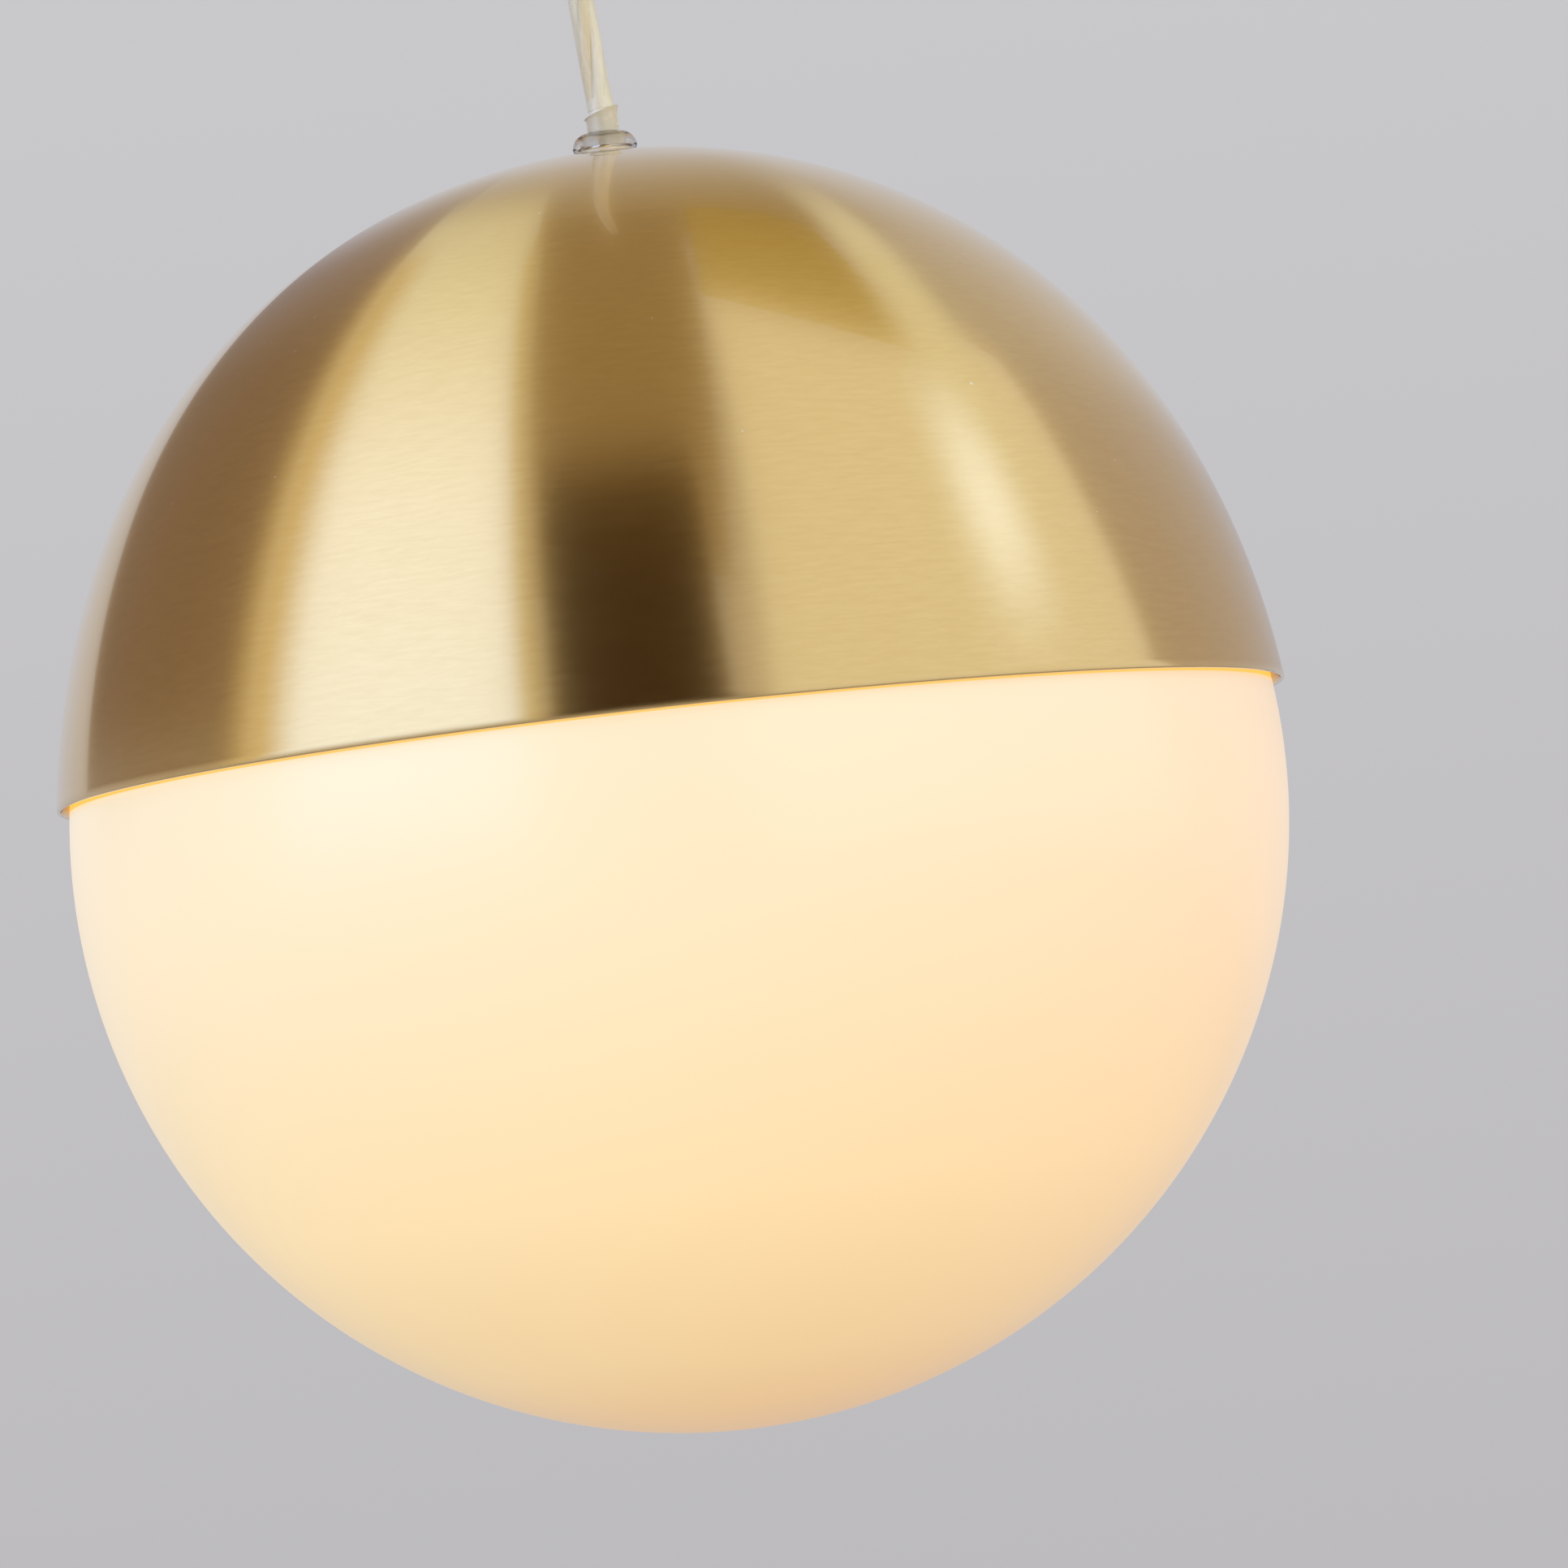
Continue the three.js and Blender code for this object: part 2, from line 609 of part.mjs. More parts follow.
function terminalBlock() {
  const body = block(BLOCK_LENGTH, BLOCK_WIDTH, BLOCK_HEIGHT);
  body.translate(blockMiddle, 0, blockTop - BLOCK_HEIGHT / 2);
  const holes = [];
  for (const way of ways) {
    const bore = rod(WAY_RADIUS, BLOCK_LENGTH * 1.2);
    bore.rotateY(90 * DEG);
    bore.translate(blockMiddle, way * WAY_PITCH, wayHeight);
    holes.push(bore);
    const well = rod(BLOCK_SCREW_RADIUS + GAP, BLOCK_SCREW_LENGTH * 2);
    well.translate(blockMiddle - BLOCK_LENGTH / 4, way * WAY_PITCH, blockBottom);
    holes.push(well);
  }
  const fixingHole = rod(FIXING_SCREW_RADIUS + GAP, BLOCK_HEIGHT * 1.2);
  fixingHole.translate(blockMiddle, WAY_PITCH / 2, blockTop - BLOCK_HEIGHT / 2);
  holes.push(fixingHole);
  return cut(body, holes);
}

function upsideDown(screw) {
  screw.rotateX(180 * DEG);
  return screw;
}

add(ceilingFitting, 'ceiling_strap', ceilingStrap(), 'zincSteel');
add(ceilingFitting, 'canopy', canopy(), 'brushedBrass');
add(ceilingFitting, 'canopy_screw_left', canopyScrew(-1), 'plainBrass');
add(ceilingFitting, 'canopy_screw_right', canopyScrew(1), 'plainBrass');

const earthScrew = upsideDown(
  panScrew(EARTH_SCREW_HEAD_RADIUS, EARTH_SCREW_HEAD_HEIGHT, CANOPY_SCREW_RADIUS, STRAP_THICKNESS - GAP),
);
earthScrew.translate(EARTH_SCREW_PLACE, 0, -STRAP_THICKNESS - GAP - EARTH_SCREW_HEAD_HEIGHT);
add(ceilingFitting, 'strap_earth_screw', earthScrew, 'plainBrass');

add(ceilingFitting, 'terminal_block', terminalBlock(), 'whitePlastic');
for (const way of ways) {
  const screw = upsideDown(grubScrew(BLOCK_SCREW_RADIUS, BLOCK_SCREW_LENGTH));
  screw.translate(blockMiddle - BLOCK_LENGTH / 4, way * WAY_PITCH, blockBottom - BLOCK_SCREW_PROUD);
  add(ceilingFitting, `block_screw_${way + 2}`, screw, 'plainBrass');
}
const fixingScrew = upsideDown(
  panScrew(
    FIXING_SCREW_RADIUS * 2,
    FIXING_SCREW_HEAD_HEIGHT,
    FIXING_SCREW_RADIUS,
    BLOCK_HEIGHT + GAP + STRAP_THICKNESS,
  ),
);
fixingScrew.translate(blockMiddle, WAY_PITCH / 2, blockBottom - GAP - FIXING_SCREW_HEAD_HEIGHT);
add(ceilingFitting, 'block_fixing_screw', fixingScrew, 'zincSteel');

add(ceilingFitting, 'ceiling_cord_grip', gripBody(), 'clearPlastic');
add(
  ceilingFitting,
  'grip_locknut',
  hexNut(
    GRIP_NUT_RADIUS,
    GRIP_SHANK_RADIUS + GAP,
    canopyBottom + CANOPY_WALL + GAP + GRIP_NUT_HEIGHT,
    GRIP_NUT_HEIGHT,
  ),
  'whitePlastic',
);
add(ceilingFitting, 'grip_screw', gripScrew(), 'zincSteel');

const tailTop = gripShankTop + TAIL_PROUD;
const cableTail = rod(CABLE_RADIUS, tailTop - gripMouth - JOINT_GAP);
cableTail.translate(0, 0, (tailTop + gripMouth + JOINT_GAP) / 2);
add(ceilingFitting, 'cable_tail', cableTail, 'clearFlex');

const coreLooks = ['liveCore', 'earthCore', 'neutralCore'];
const coreNames = ['live', 'earth', 'neutral'];
ways.forEach((way, i) => {
  const start = CORE_DIAMETER * 0.62;
  const side = i === 1 ? 0 : way * start;
  const front = i === 1 ? start : -start * 0.6;
  const core = tubeAlong(
    [
      [front, side, tailTop + 2 * GAP],
      [front, side, tailTop + CORE_STRAIGHT],
      [BLOCK_PLACE / 2, way * WAY_PITCH * 0.8, wayHeight],
      [BLOCK_PLACE - GAP, way * WAY_PITCH, wayHeight],
    ],
    CORE_DIAMETER,
    8,
    6,
  );
  add(ceilingFitting, `tail_core_${coreNames[i]}`, core, coreLooks[i]);
});

// ---- cable --------------------------------------------------------------------------------------

add(light, 'pendant_cable', tubeAlong(CABLE_ROUTE, CABLE_DIAMETER, 10, 14), 'clearFlex');

// ---- shade: everything that hangs on the cable --------------------------------------------------

const shade = new THREE.Group();
shade.position.z = RIM_PLANE;
light.add(shade);

// The dome's section: a round crown, then an arc that leaves it smoothly and ends at the rim.
function domeLine(offset, steps) {
  const crown = CROWN_RADIUS - offset;
  const join = [crown * Math.sin(CROWN_ANGLE), crown * Math.cos(CROWN_ANGLE)];
  const rim = [RIM_RADIUS - offset, 0];
  const across = rim[0] - join[0];
  const down = join[1] - rim[1];
  const chordAngle = Math.atan2(across, down);
  const turn = 2 * (90 * DEG - CROWN_ANGLE - chordAngle);
  const skirtRadius = Math.hypot(across, down) / (2 * Math.sin(turn / 2));
  const startAngle = 90 * DEG - CROWN_ANGLE;
  const centre = [
    join[0] - skirtRadius * Math.cos(startAngle),
    join[1] - skirtRadius * Math.sin(startAngle),
  ];
  const flat = [
    [boreOfTubeParts, crownFlat - offset],
    [CROWN_FLAT_RADIUS, crownFlat - offset],
  ];
  const crownArc = arc(0, 0, crown, Math.acos(CROWN_FLAT_RADIUS / crown), startAngle, steps);
  const skirtArc = arc(...centre, skirtRadius, startAngle, startAngle - turn, Math.ceil(steps / 3));
  return [...flat, ...crownArc.slice(1), ...skirtArc.slice(1)];
}

add(
  shade,
  'brass_dome',
  turned([...domeLine(0, 7), ...domeLine(DOME_WALL, 7).reverse()], FACETS_LARGE),
  'brushedBrass',
);

function topWasher() {
  const bottom = topWasherBottom;
  const top = bottom + TOP_WASHER_HEIGHT;
  const bore = CABLE_RADIUS + SLEEVE_GAP + SLEEVE_WALL + GAP;
  const recess = boreOfTubeParts;
  const across = TOP_WASHER_RADIUS - bore;
  const rise = TOP_WASHER_HEIGHT - TOP_WASHER_EDGE;
  const round = [];
  for (let i = 0; i <= 5; i += 1) {
    const angle = (i / 5) * 90 * DEG;
    round.push([bore + across * Math.cos(angle), bottom + TOP_WASHER_EDGE + rise * Math.sin(angle)]);
  }
  return turned(
    [
      [recess, bottom],
      [TOP_WASHER_RADIUS - TOP_WASHER_EDGE / 3, bottom],
      ...round,
      [bore, top - TOP_WASHER_ROOF],
      [recess, top - TOP_WASHER_ROOF],
    ],
    FACETS_MEDIUM,
  );
}

// Clear sleeve, cut on a slant and spread a little at its upper end.
function cableSleeve() {
  const inner = CABLE_RADIUS + SLEEVE_GAP;
  const outer = inner + SLEEVE_WALL;
  const top = sleeveTop;
  const low = top - SLEEVE_LENGTH;
  const sleeve = turned(
    [
      [inner, low],
      [outer, low],
      [outer, top - SLEEVE_FLARE_LENGTH],
      [outer + SLEEVE_FLARE, top],
      [inner + SLEEVE_FLARE, top],
      [inner, top - SLEEVE_FLARE_LENGTH],
    ],
    FACETS_MEDIUM,
  );
  const position = sleeve.getAttribute('position');
  for (let i = 0; i < position.count; i += 1) {
    if (position.getZ(i) < top - 0.01) continue;
    position.setZ(i, top + (SLEEVE_SLANT * position.getX(i)) / outer);
  }
  return sleeve;
}

const tubeTop = topWasherBottom + TUBE_PROUD;
const tubeBottom = holderTop - TUBE_ENTRY;
const lowerCableTop = sleeveTop - JOINT_GAP;
const lowerCableBottom = tubeBottom - TAIL_PROUD;
const lowerCable = rod(CABLE_RADIUS, lowerCableTop - lowerCableBottom);
lowerCable.translate(0, 0, (lowerCableTop + lowerCableBottom) / 2);

add(
  shade,
  'crown_nut',
  ring(boreOfTubeParts, CROWN_NUT_RADIUS, crownNutTop, CROWN_NUT_HEIGHT, FACETS_MEDIUM),
  'clearPlastic',
);
add(shade, 'top_washer', topWasher(), 'clearPlastic');
add(shade, 'cable_sleeve', cableSleeve(), 'clearPlastic');
add(shade, 'cable_lower_end', lowerCable, 'clearFlex');
add(
  shade,
  'threaded_tube',
  ring(TUBE_RADIUS - TUBE_WALL, TUBE_RADIUS, tubeTop, tubeTop - tubeBottom, FACETS_MEDIUM),
  'plainBrass',
);
add(
  shade,
  'dome_seat_washer',
  ring(boreOfTubeParts, SEAT_RADIUS, seatTop, SEAT_THICKNESS, FACETS_MEDIUM),
  'fibre',
);
add(shade, 'upper_nut', hexNut(NUT_RADIUS, boreOfTubeParts, upperNutTop, NUT_HEIGHT), 'plainBrass');

// Pressed gallery: a plate on the tube, a lower shoulder under the dome's curve, and a skirt whose
// thread holds the globe's neck.
function gallery() {
  const threadSteps = Math.ceil(((shoulderTop - galleryLow) / NECK_THREAD_PITCH) * THREAD_RINGS);
  const rise = plateTop - shoulderTop;
  const plateRadius = galleryRadius * 0.55;
  const slopeRadius = plateRadius + Math.max(rise, 1) * 2;
  const cup = turned(
    [
      [boreOfTubeParts, plateTop],
      [boreOfTubeParts, plateTop - GALLERY_WALL],
      [plateRadius, plateTop - GALLERY_WALL],
      [slopeRadius, shoulderTop - GALLERY_WALL],
      ...wall(galleryBore, shoulderTop - GALLERY_WALL, galleryLow, threadSteps),
      [galleryRadius, galleryLow],
      [galleryRadius, shoulderTop - 1],
      [galleryRadius - 1, shoulderTop],
      [slopeRadius, shoulderTop],
      [plateRadius, plateTop],
    ],
    FACETS_LARGE,
  );
  return pressThread(cup, {
    radius: galleryBore,
    pitch: NECK_THREAD_PITCH,
    depth: NECK_THREAD_DEPTH,
    low: galleryLow - 1,
    high: shoulderTop,
    fade: 0,
  });
}

add(shade, 'globe_gallery', gallery(), 'zincSteel');
add(
  shade,
  'lock_washer',
  ring(boreOfTubeParts, LOCK_WASHER_RADIUS, lockWasherTop, LOCK_WASHER_THICKNESS, FACETS_SMALL),
  'zincSteel',
);
add(shade, 'lower_nut', hexNut(NUT_RADIUS, boreOfTubeParts, lowerNutTop, NUT_HEIGHT), 'plainBrass');

// ---- lampholder ---------------------------------------------------------------------------------

const collarLow = holderTop - CAP_COLLAR_HEIGHT;
const capShoulder = holderTop - CAP_SHOULDER_DROP;
const capScrewHeight = holderTop - CAP_SCREW_DROP;

function lampholderCap() {
  const inner = HOLDER_RADIUS - HOLDER_WALL;
  const cap = turned(
    [
      [boreOfTubeParts, holderTop],
      [boreOfTubeParts, tubeBottom - GAP],
      [CAP_COLLAR_RADIUS, tubeBottom - CAP_FLOOR],
      [inner, capShoulder - HOLDER_WALL],
      [inner, holderSplit],
      [HOLDER_RADIUS, holderSplit],
      [HOLDER_RADIUS, capShoulder],
      [HOLDER_RADIUS * 0.9, capShoulder + HOLDER_RADIUS * 0.18],
      [CAP_COLLAR_RADIUS * 1.4, collarLow - HOLDER_WALL],
      [CAP_COLLAR_RADIUS, collarLow],
      [CAP_COLLAR_RADIUS, holderTop],
    ],
    FACETS_MEDIUM,
  );
  const grubHole = rod(GRIP_SCREW_RADIUS + GAP, CAP_COLLAR_RADIUS * 2);
  grubHole.rotateY(90 * DEG);
  grubHole.translate(CAP_COLLAR_RADIUS + HOLDER_WALL, 0, capScrewHeight);
  return cut(cap, [grubHole]);
}

function capLockScrew() {
  const screw = grubScrew(GRIP_SCREW_RADIUS, CAP_SCREW_LENGTH);
  screw.rotateY(90 * DEG);
  screw.translate(TUBE_RADIUS + GAP + CAP_SCREW_LENGTH, 0, capScrewHeight);
  return screw;
}

function lampholderBody() {
  const inner = HOLDER_RADIUS - HOLDER_WALL;
  const seat = insertBottom - GAP;
  const throat = shellRadius + 2 * GAP;
  return turned(
    [
      [inner, holderSplit - GAP],
      [inner, seat],
      [throat, seat],
      [throat, mouthHeight],
      [MOUTH_RADIUS - MOUTH_BEAD / 4, mouthHeight],
      [MOUTH_RADIUS, mouthHeight + MOUTH_BEAD / 3],
      [MOUTH_RADIUS, mouthHeight + MOUTH_BEAD],
      [HOLDER_RADIUS, mouthHeight + MOUTH_BEAD + HOLDER_WALL],
      [HOLDER_RADIUS, holderSplit - GAP],
    ],
    FACETS_MEDIUM,
  );
}

// Ceramic insert with a blind well for the sprung centre contact.
function holderInsert() {
  return turned(
    [
      [0, insertTop],
      [insertRadius - 1, insertTop],
      [insertRadius, insertTop - 1],
      [insertRadius, insertBottom],
      [contactBore, insertBottom],
      [contactBore, contactWellTop],
      [0, contactWellTop],
    ],
    FACETS_MEDIUM,
  );
}

function lampShell() {
  const low = shellTop - SHELL_LENGTH;
  const steps = Math.ceil((SHELL_LENGTH / BULB_THREAD_PITCH) * THREAD_RINGS);
  const shell = turned(
    [
      [contactBore + 4, shellTop],
      [contactBore + 4, shellTop - SHELL_WALL],
      ...wall(shellBore, shellTop - SHELL_WALL, low, steps),
      [shellRadius, low],
      [shellRadius, shellTop],
    ],
    FACETS_MEDIUM,
  );
  return pressThread(shell, {
    radius: shellBore,
    pitch: BULB_THREAD_PITCH,
    depth: BULB_THREAD_DEPTH,
    low: low - 1,
    high: shellTop,
    fade: 0,
  });
}

add(shade, 'lampholder_cap', lampholderCap(), 'whitePlastic');
add(shade, 'cap_lock_screw', capLockScrew(), 'zincSteel');
add(shade, 'lampholder_body', lampholderBody(), 'whitePlastic');
add(shade, 'holder_insert', holderInsert(), 'ceramic');
add(shade, 'lamp_shell', lampShell(), 'nickel');

function centreContact() {
  return turned(
    [
      [0, contactLow],
      [CONTACT_RADIUS * 0.6, contactLow],
      [CONTACT_RADIUS, contactLow + CONTACT_NOSE],
      [CONTACT_RADIUS, contactHigh],
      [0, contactHigh],
    ],
    FACETS_SMALL,
  );
}

function contactSpring() {
  const coilRadius = CONTACT_RADIUS - SPRING_WIRE;
  const low = contactHigh + GAP + SPRING_WIRE / 2;
  const high = contactWellTop - GAP - SPRING_WIRE / 2;
  const stepsInTurn = 9;
  const steps = SPRING_TURNS * stepsInTurn;
  const points = [];
  for (let i = 0; i <= steps; i += 1) {
    const angle = (i / stepsInTurn) * 2 * Math.PI;
    const height = low + ((high - low) * i) / steps;
    points.push([coilRadius * Math.cos(angle), coilRadius * Math.sin(angle), height]);
  }
  return tubeAlong(points, SPRING_WIRE, 4, steps);
}

add(shade, 'centre_contact', centreContact(), 'plainBrass');
add(shade, 'contact_spring', contactSpring(), 'zincSteel');

// Three terminals round the insert, each with its screw and the core that it clamps.
const coreAngles = [180, 90, 0];
coreAngles.forEach((angle, i) => {
  const terminalTop = insertTop + GAP + TERMINAL_HEIGHT;
  const terminal = block(TERMINAL_SIZE, TERMINAL_SIZE, TERMINAL_HEIGHT);
  terminal.translate(TERMINAL_PLACE, 0, terminalTop - TERMINAL_HEIGHT / 2);
  const well = rod(TERMINAL_SCREW_RADIUS + GAP, TERMINAL_HEIGHT);
  well.translate(TERMINAL_PLACE, 0, terminalTop);
  const screw = grubScrew(TERMINAL_SCREW_RADIUS, TERMINAL_SCREW_LENGTH);
  screw.translate(TERMINAL_PLACE, 0, terminalTop + TERMINAL_SCREW_PROUD);
  const clampHeight = terminalTop - TERMINAL_HEIGHT / 2;
  const clampPlace = TERMINAL_PLACE - TERMINAL_SIZE / 2 - GAP;
  const corePlace = CORE_DIAMETER * 0.85;
  const core = tubeAlong(
    [
      [corePlace, 0, lowerCableBottom - 2 * GAP],
      [corePlace, 0, lowerCableBottom - CORE_STRAIGHT],
      [(corePlace + clampPlace) / 2, 0, clampHeight + GAP],
      [clampPlace, 0, clampHeight],
    ],
    CORE_DIAMETER,
    8,
    6,
  );
  const clamped = cut(terminal, [well]);
  for (const piece of [clamped, screw, core]) piece.rotateZ(angle * DEG);
  add(shade, `holder_terminal_${coreNames[i]}`, clamped, 'plainBrass');
  add(shade, `terminal_screw_${coreNames[i]}`, screw, 'zincSteel');
  add(shade, `core_${coreNames[i]}`, core, coreLooks[i]);
});

// ---- bulb ---------------------------------------------------------------------------------------

const bulbCapTop = bulbTipTop - BULB_TIP_RISE;
const bulbCapLow = bulbCapTop - BULB_CAP_LENGTH;
const bulbLow = bulbTipTop - BULB_LENGTH;
const bulbCentre = bulbLow + BULB_RADIUS;
const meetAngle = Math.acos(BULB_HOUSING_RADIUS / BULB_RADIUS);
const envelopeTop = bulbCentre + BULB_RADIUS * Math.sin(meetAngle);
const housingLow = envelopeTop + GAP;

function bulbCap() {
  const root = BULB_THREAD_RADIUS;
  const inside = root - BULB_CAP_WALL;
  const edge = BULB_TIP_RISE;
  const low = bulbCapLow + edge;
  const high = bulbCapTop - edge;
  const steps = Math.ceil(((high - low) / BULB_THREAD_PITCH) * THREAD_RINGS);
  const crownBore = INSULATOR_RADIUS + GAP;
  const cap = turned(
    [
      [crownBore, bulbCapTop],
      [crownBore, bulbCapTop - BULB_CAP_WALL],
      [inside - edge, bulbCapTop - edge],
      [inside, bulbCapTop - 2 * edge],
      [inside, bulbCapLow],
      [root, bulbCapLow],
      ...wall(root, low, high, steps),
      [root - edge, bulbCapTop - edge / 3],
    ],
    FACETS_MEDIUM,
  );
  return pressThread(cap, {
    radius: root,
    pitch: BULB_THREAD_PITCH,
    depth: BULB_THREAD_DEPTH,
    low,
    high,
    fade: BULB_THREAD_PITCH / 2,
  });
}

function bulbInsulator() {
  const tipSeat = bulbTipTop - BULB_TIP_THICKNESS - GAP;
  return turned(
    [
      [0, bulbCapTop - INSULATOR_DEPTH],
      [INSULATOR_RADIUS * 0.8, bulbCapTop - INSULATOR_DEPTH],
      [INSULATOR_RADIUS, bulbCapTop - INSULATOR_DEPTH / 3],
      [INSULATOR_RADIUS, bulbCapTop],
      [BULB_TIP_RADIUS + GAP, tipSeat],
      [0, tipSeat],
    ],
    FACETS_SMALL,
  );
}

function bulbTip() {
  return turned(
    [
      [0, bulbTipTop - BULB_TIP_THICKNESS],
      [BULB_TIP_RADIUS, bulbTipTop - BULB_TIP_THICKNESS],
      [BULB_TIP_RADIUS * 0.75, bulbTipTop],
      [0, bulbTipTop],
    ],
    FACETS_SMALL,
  );
}

function bulbHousing() {
  const top = bulbCapLow - GAP;
  const outside = [
    [BULB_THREAD_RADIUS, top],
    [BULB_THREAD_RADIUS + BULB_COLLAR_FLARE, top - BULB_COLLAR_HEIGHT],
    [BULB_HOUSING_RADIUS - BULB_SKIRT_FLARE, housingLow + BULB_SKIRT_HEIGHT],
    [BULB_HOUSING_RADIUS, housingLow],
  ];
  const inside = outside.map(([radius, height]) => [radius - BULB_HOUSING_WALL, height]);
  return turned([...outside, ...inside.reverse()], FACETS_MEDIUM);
}

function bulbEnvelope() {
  const inside = BULB_RADIUS - BULB_ENVELOPE_WALL;
  return turned(
    [
      ...arc(0, bulbCentre, BULB_RADIUS, -90 * DEG, meetAngle, 7),
      ...arc(0, bulbCentre, inside, Math.asin((envelopeTop - bulbCentre) / inside), -90 * DEG, 6),
    ],
    FACETS_MEDIUM,
  );
}

const bulb = new THREE.Group();
shade.add(bulb);
add(bulb, 'bulb_cap', bulbCap(), 'nickel');
add(bulb, 'bulb_insulator', bulbInsulator(), 'blackGlass');
add(bulb, 'bulb_tip', bulbTip(), 'zincSteel');
add(bulb, 'bulb_housing', bulbHousing(), 'whitePlastic');
add(bulb, 'bulb_envelope', bulbEnvelope(), 'frosted');

const ledPlateRadius = BULB_HOUSING_RADIUS - BULB_HOUSING_WALL - BULB_SKIRT_FLARE - GAP;
const ledPlate = rod(ledPlateRadius, LED_PLATE_THICKNESS, FACETS_MEDIUM);
ledPlate.translate(0, 0, housingLow + LED_PLATE_RISE);
add(bulb, 'led_plate', ledPlate, 'aluminium');

// ---- globe --------------------------------------------------------------------------------------

add(
  shade,
  'neck_gasket',
  ring(
    NECK_RADIUS - NECK_WALL - GASKET_OVERHANG,
    NECK_RADIUS - GAP,
    gasketTop,
    GASKET_THICKNESS,
    FACETS_LARGE,
  ),
  'silicone',
);

// Blown opal globe with a screw neck.
function opalGlobe() {
  const inside = globeRadius - GLOBE_WALL;
  const neckBore = NECK_RADIUS - NECK_WALL;
  const outerStart = Math.acos(NECK_RADIUS / globeRadius);
  const innerStart = Math.acos(neckBore / inside);
  const threadSteps = Math.ceil((NECK_HEIGHT / NECK_THREAD_PITCH) * THREAD_RINGS);
  const globe = turned(
    [
      ...arc(0, globeCentre, globeRadius, -90 * DEG, outerStart, 11),
      ...wall(NECK_RADIUS, globeShoulder, lipTop, threadSteps).slice(1),
      [neckBore, lipTop],
      ...arc(0, globeCentre, inside, innerStart, -90 * DEG, 8),
    ],
    FACETS_LARGE,
  );
  return pressThread(globe, {
    radius: NECK_RADIUS,
    pitch: NECK_THREAD_PITCH,
    depth: NECK_THREAD_DEPTH,
    low: globeShoulder + 0.5,
    high: lipTop + 0.01,
    fade: 1.5,
  });
}

add(shade, 'opal_globe', opalGlobe(), 'opalGlass');

export default light;
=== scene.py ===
# %% [markdown]
# # A brass and opal glass pendant light
# The light is a spun brass half dome over a blown opal glass globe, hung on a clear round cable from
# a small brass ceiling canopy. The working parts come ready made as the frame: they are measured
# here and never changed. This lesson adds the camera, the cable, the fine visible shells, the
# finishes and the studio.

import json
import math

import bmesh
import bpy
from mathutils import Matrix, Vector


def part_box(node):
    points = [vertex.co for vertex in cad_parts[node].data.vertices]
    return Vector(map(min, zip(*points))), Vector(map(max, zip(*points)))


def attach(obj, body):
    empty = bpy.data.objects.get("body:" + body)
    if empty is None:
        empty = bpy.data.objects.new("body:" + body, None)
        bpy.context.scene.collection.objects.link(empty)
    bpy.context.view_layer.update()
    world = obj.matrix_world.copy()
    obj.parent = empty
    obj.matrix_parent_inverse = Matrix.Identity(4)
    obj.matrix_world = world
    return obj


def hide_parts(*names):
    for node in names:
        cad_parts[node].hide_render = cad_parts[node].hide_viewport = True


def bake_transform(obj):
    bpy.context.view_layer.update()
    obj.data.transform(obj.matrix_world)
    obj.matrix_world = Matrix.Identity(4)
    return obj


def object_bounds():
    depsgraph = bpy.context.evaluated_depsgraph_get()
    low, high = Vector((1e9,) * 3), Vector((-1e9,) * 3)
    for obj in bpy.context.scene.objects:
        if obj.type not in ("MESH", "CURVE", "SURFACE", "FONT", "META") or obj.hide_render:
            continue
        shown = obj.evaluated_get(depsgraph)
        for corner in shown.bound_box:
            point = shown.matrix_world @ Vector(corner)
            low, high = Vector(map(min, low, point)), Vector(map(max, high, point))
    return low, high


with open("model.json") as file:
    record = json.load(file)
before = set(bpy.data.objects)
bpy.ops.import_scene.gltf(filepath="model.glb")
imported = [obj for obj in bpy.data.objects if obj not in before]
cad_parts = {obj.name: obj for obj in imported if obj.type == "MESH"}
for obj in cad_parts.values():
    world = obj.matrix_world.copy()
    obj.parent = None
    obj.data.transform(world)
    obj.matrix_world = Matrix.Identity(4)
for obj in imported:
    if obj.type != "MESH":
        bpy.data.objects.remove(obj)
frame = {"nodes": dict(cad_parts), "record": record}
cad_box = [list(corner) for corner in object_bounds()]
MM = 0.001
print("pieces in the frame:", len(frame["nodes"]), "in a box of", cad_box)

# %% [markdown]
# ## The camera
# A long lens from a little below the rim shows the dome and the globe almost without perspective.
# The camera is rolled by six degrees, so the light hangs at a lively slant. A camera could be aimed
# with a constraint, but a matrix built from two turns and a distance is plain to read, and it
# leaves the camera free for other views.

# %% Set up the camera
dome_low, dome_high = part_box("brass_dome")
rim_height = dome_low.z
rim_radius = dome_high.x
CAMERA_DISTANCE = 1.5837
CAMERA_LOOKS_UP = math.radians(3.19)
CAMERA_ROLL = math.radians(6.41)
AIM_RIGHT = 0.0273
AIM_DOWN = 0.0084
LENS_MM = 149.07
SENSOR_MM = 36

camera_data = bpy.data.cameras.new("camera")
camera_data.sensor_width = SENSOR_MM
camera_data.lens = LENS_MM
camera_data.clip_start = 0.05
camera_data.clip_end = 60
camera = bpy.data.objects.new("camera", camera_data)
bpy.context.collection.objects.link(camera)
bpy.context.scene.camera = camera
camera_turn = (
    Matrix.Rotation(math.radians(90) + CAMERA_LOOKS_UP, 4, "X")
    @ Matrix.Rotation(-CAMERA_ROLL, 4, "Z")
)
camera_offset = Vector((AIM_RIGHT, -AIM_DOWN, CAMERA_DISTANCE))
rim_centre = Vector((0, 0, rim_height))
camera.matrix_world = Matrix.Translation(rim_centre + camera_turn @ camera_offset) @ camera_turn
print("camera stands at", [round(value, 3) for value in camera.location])

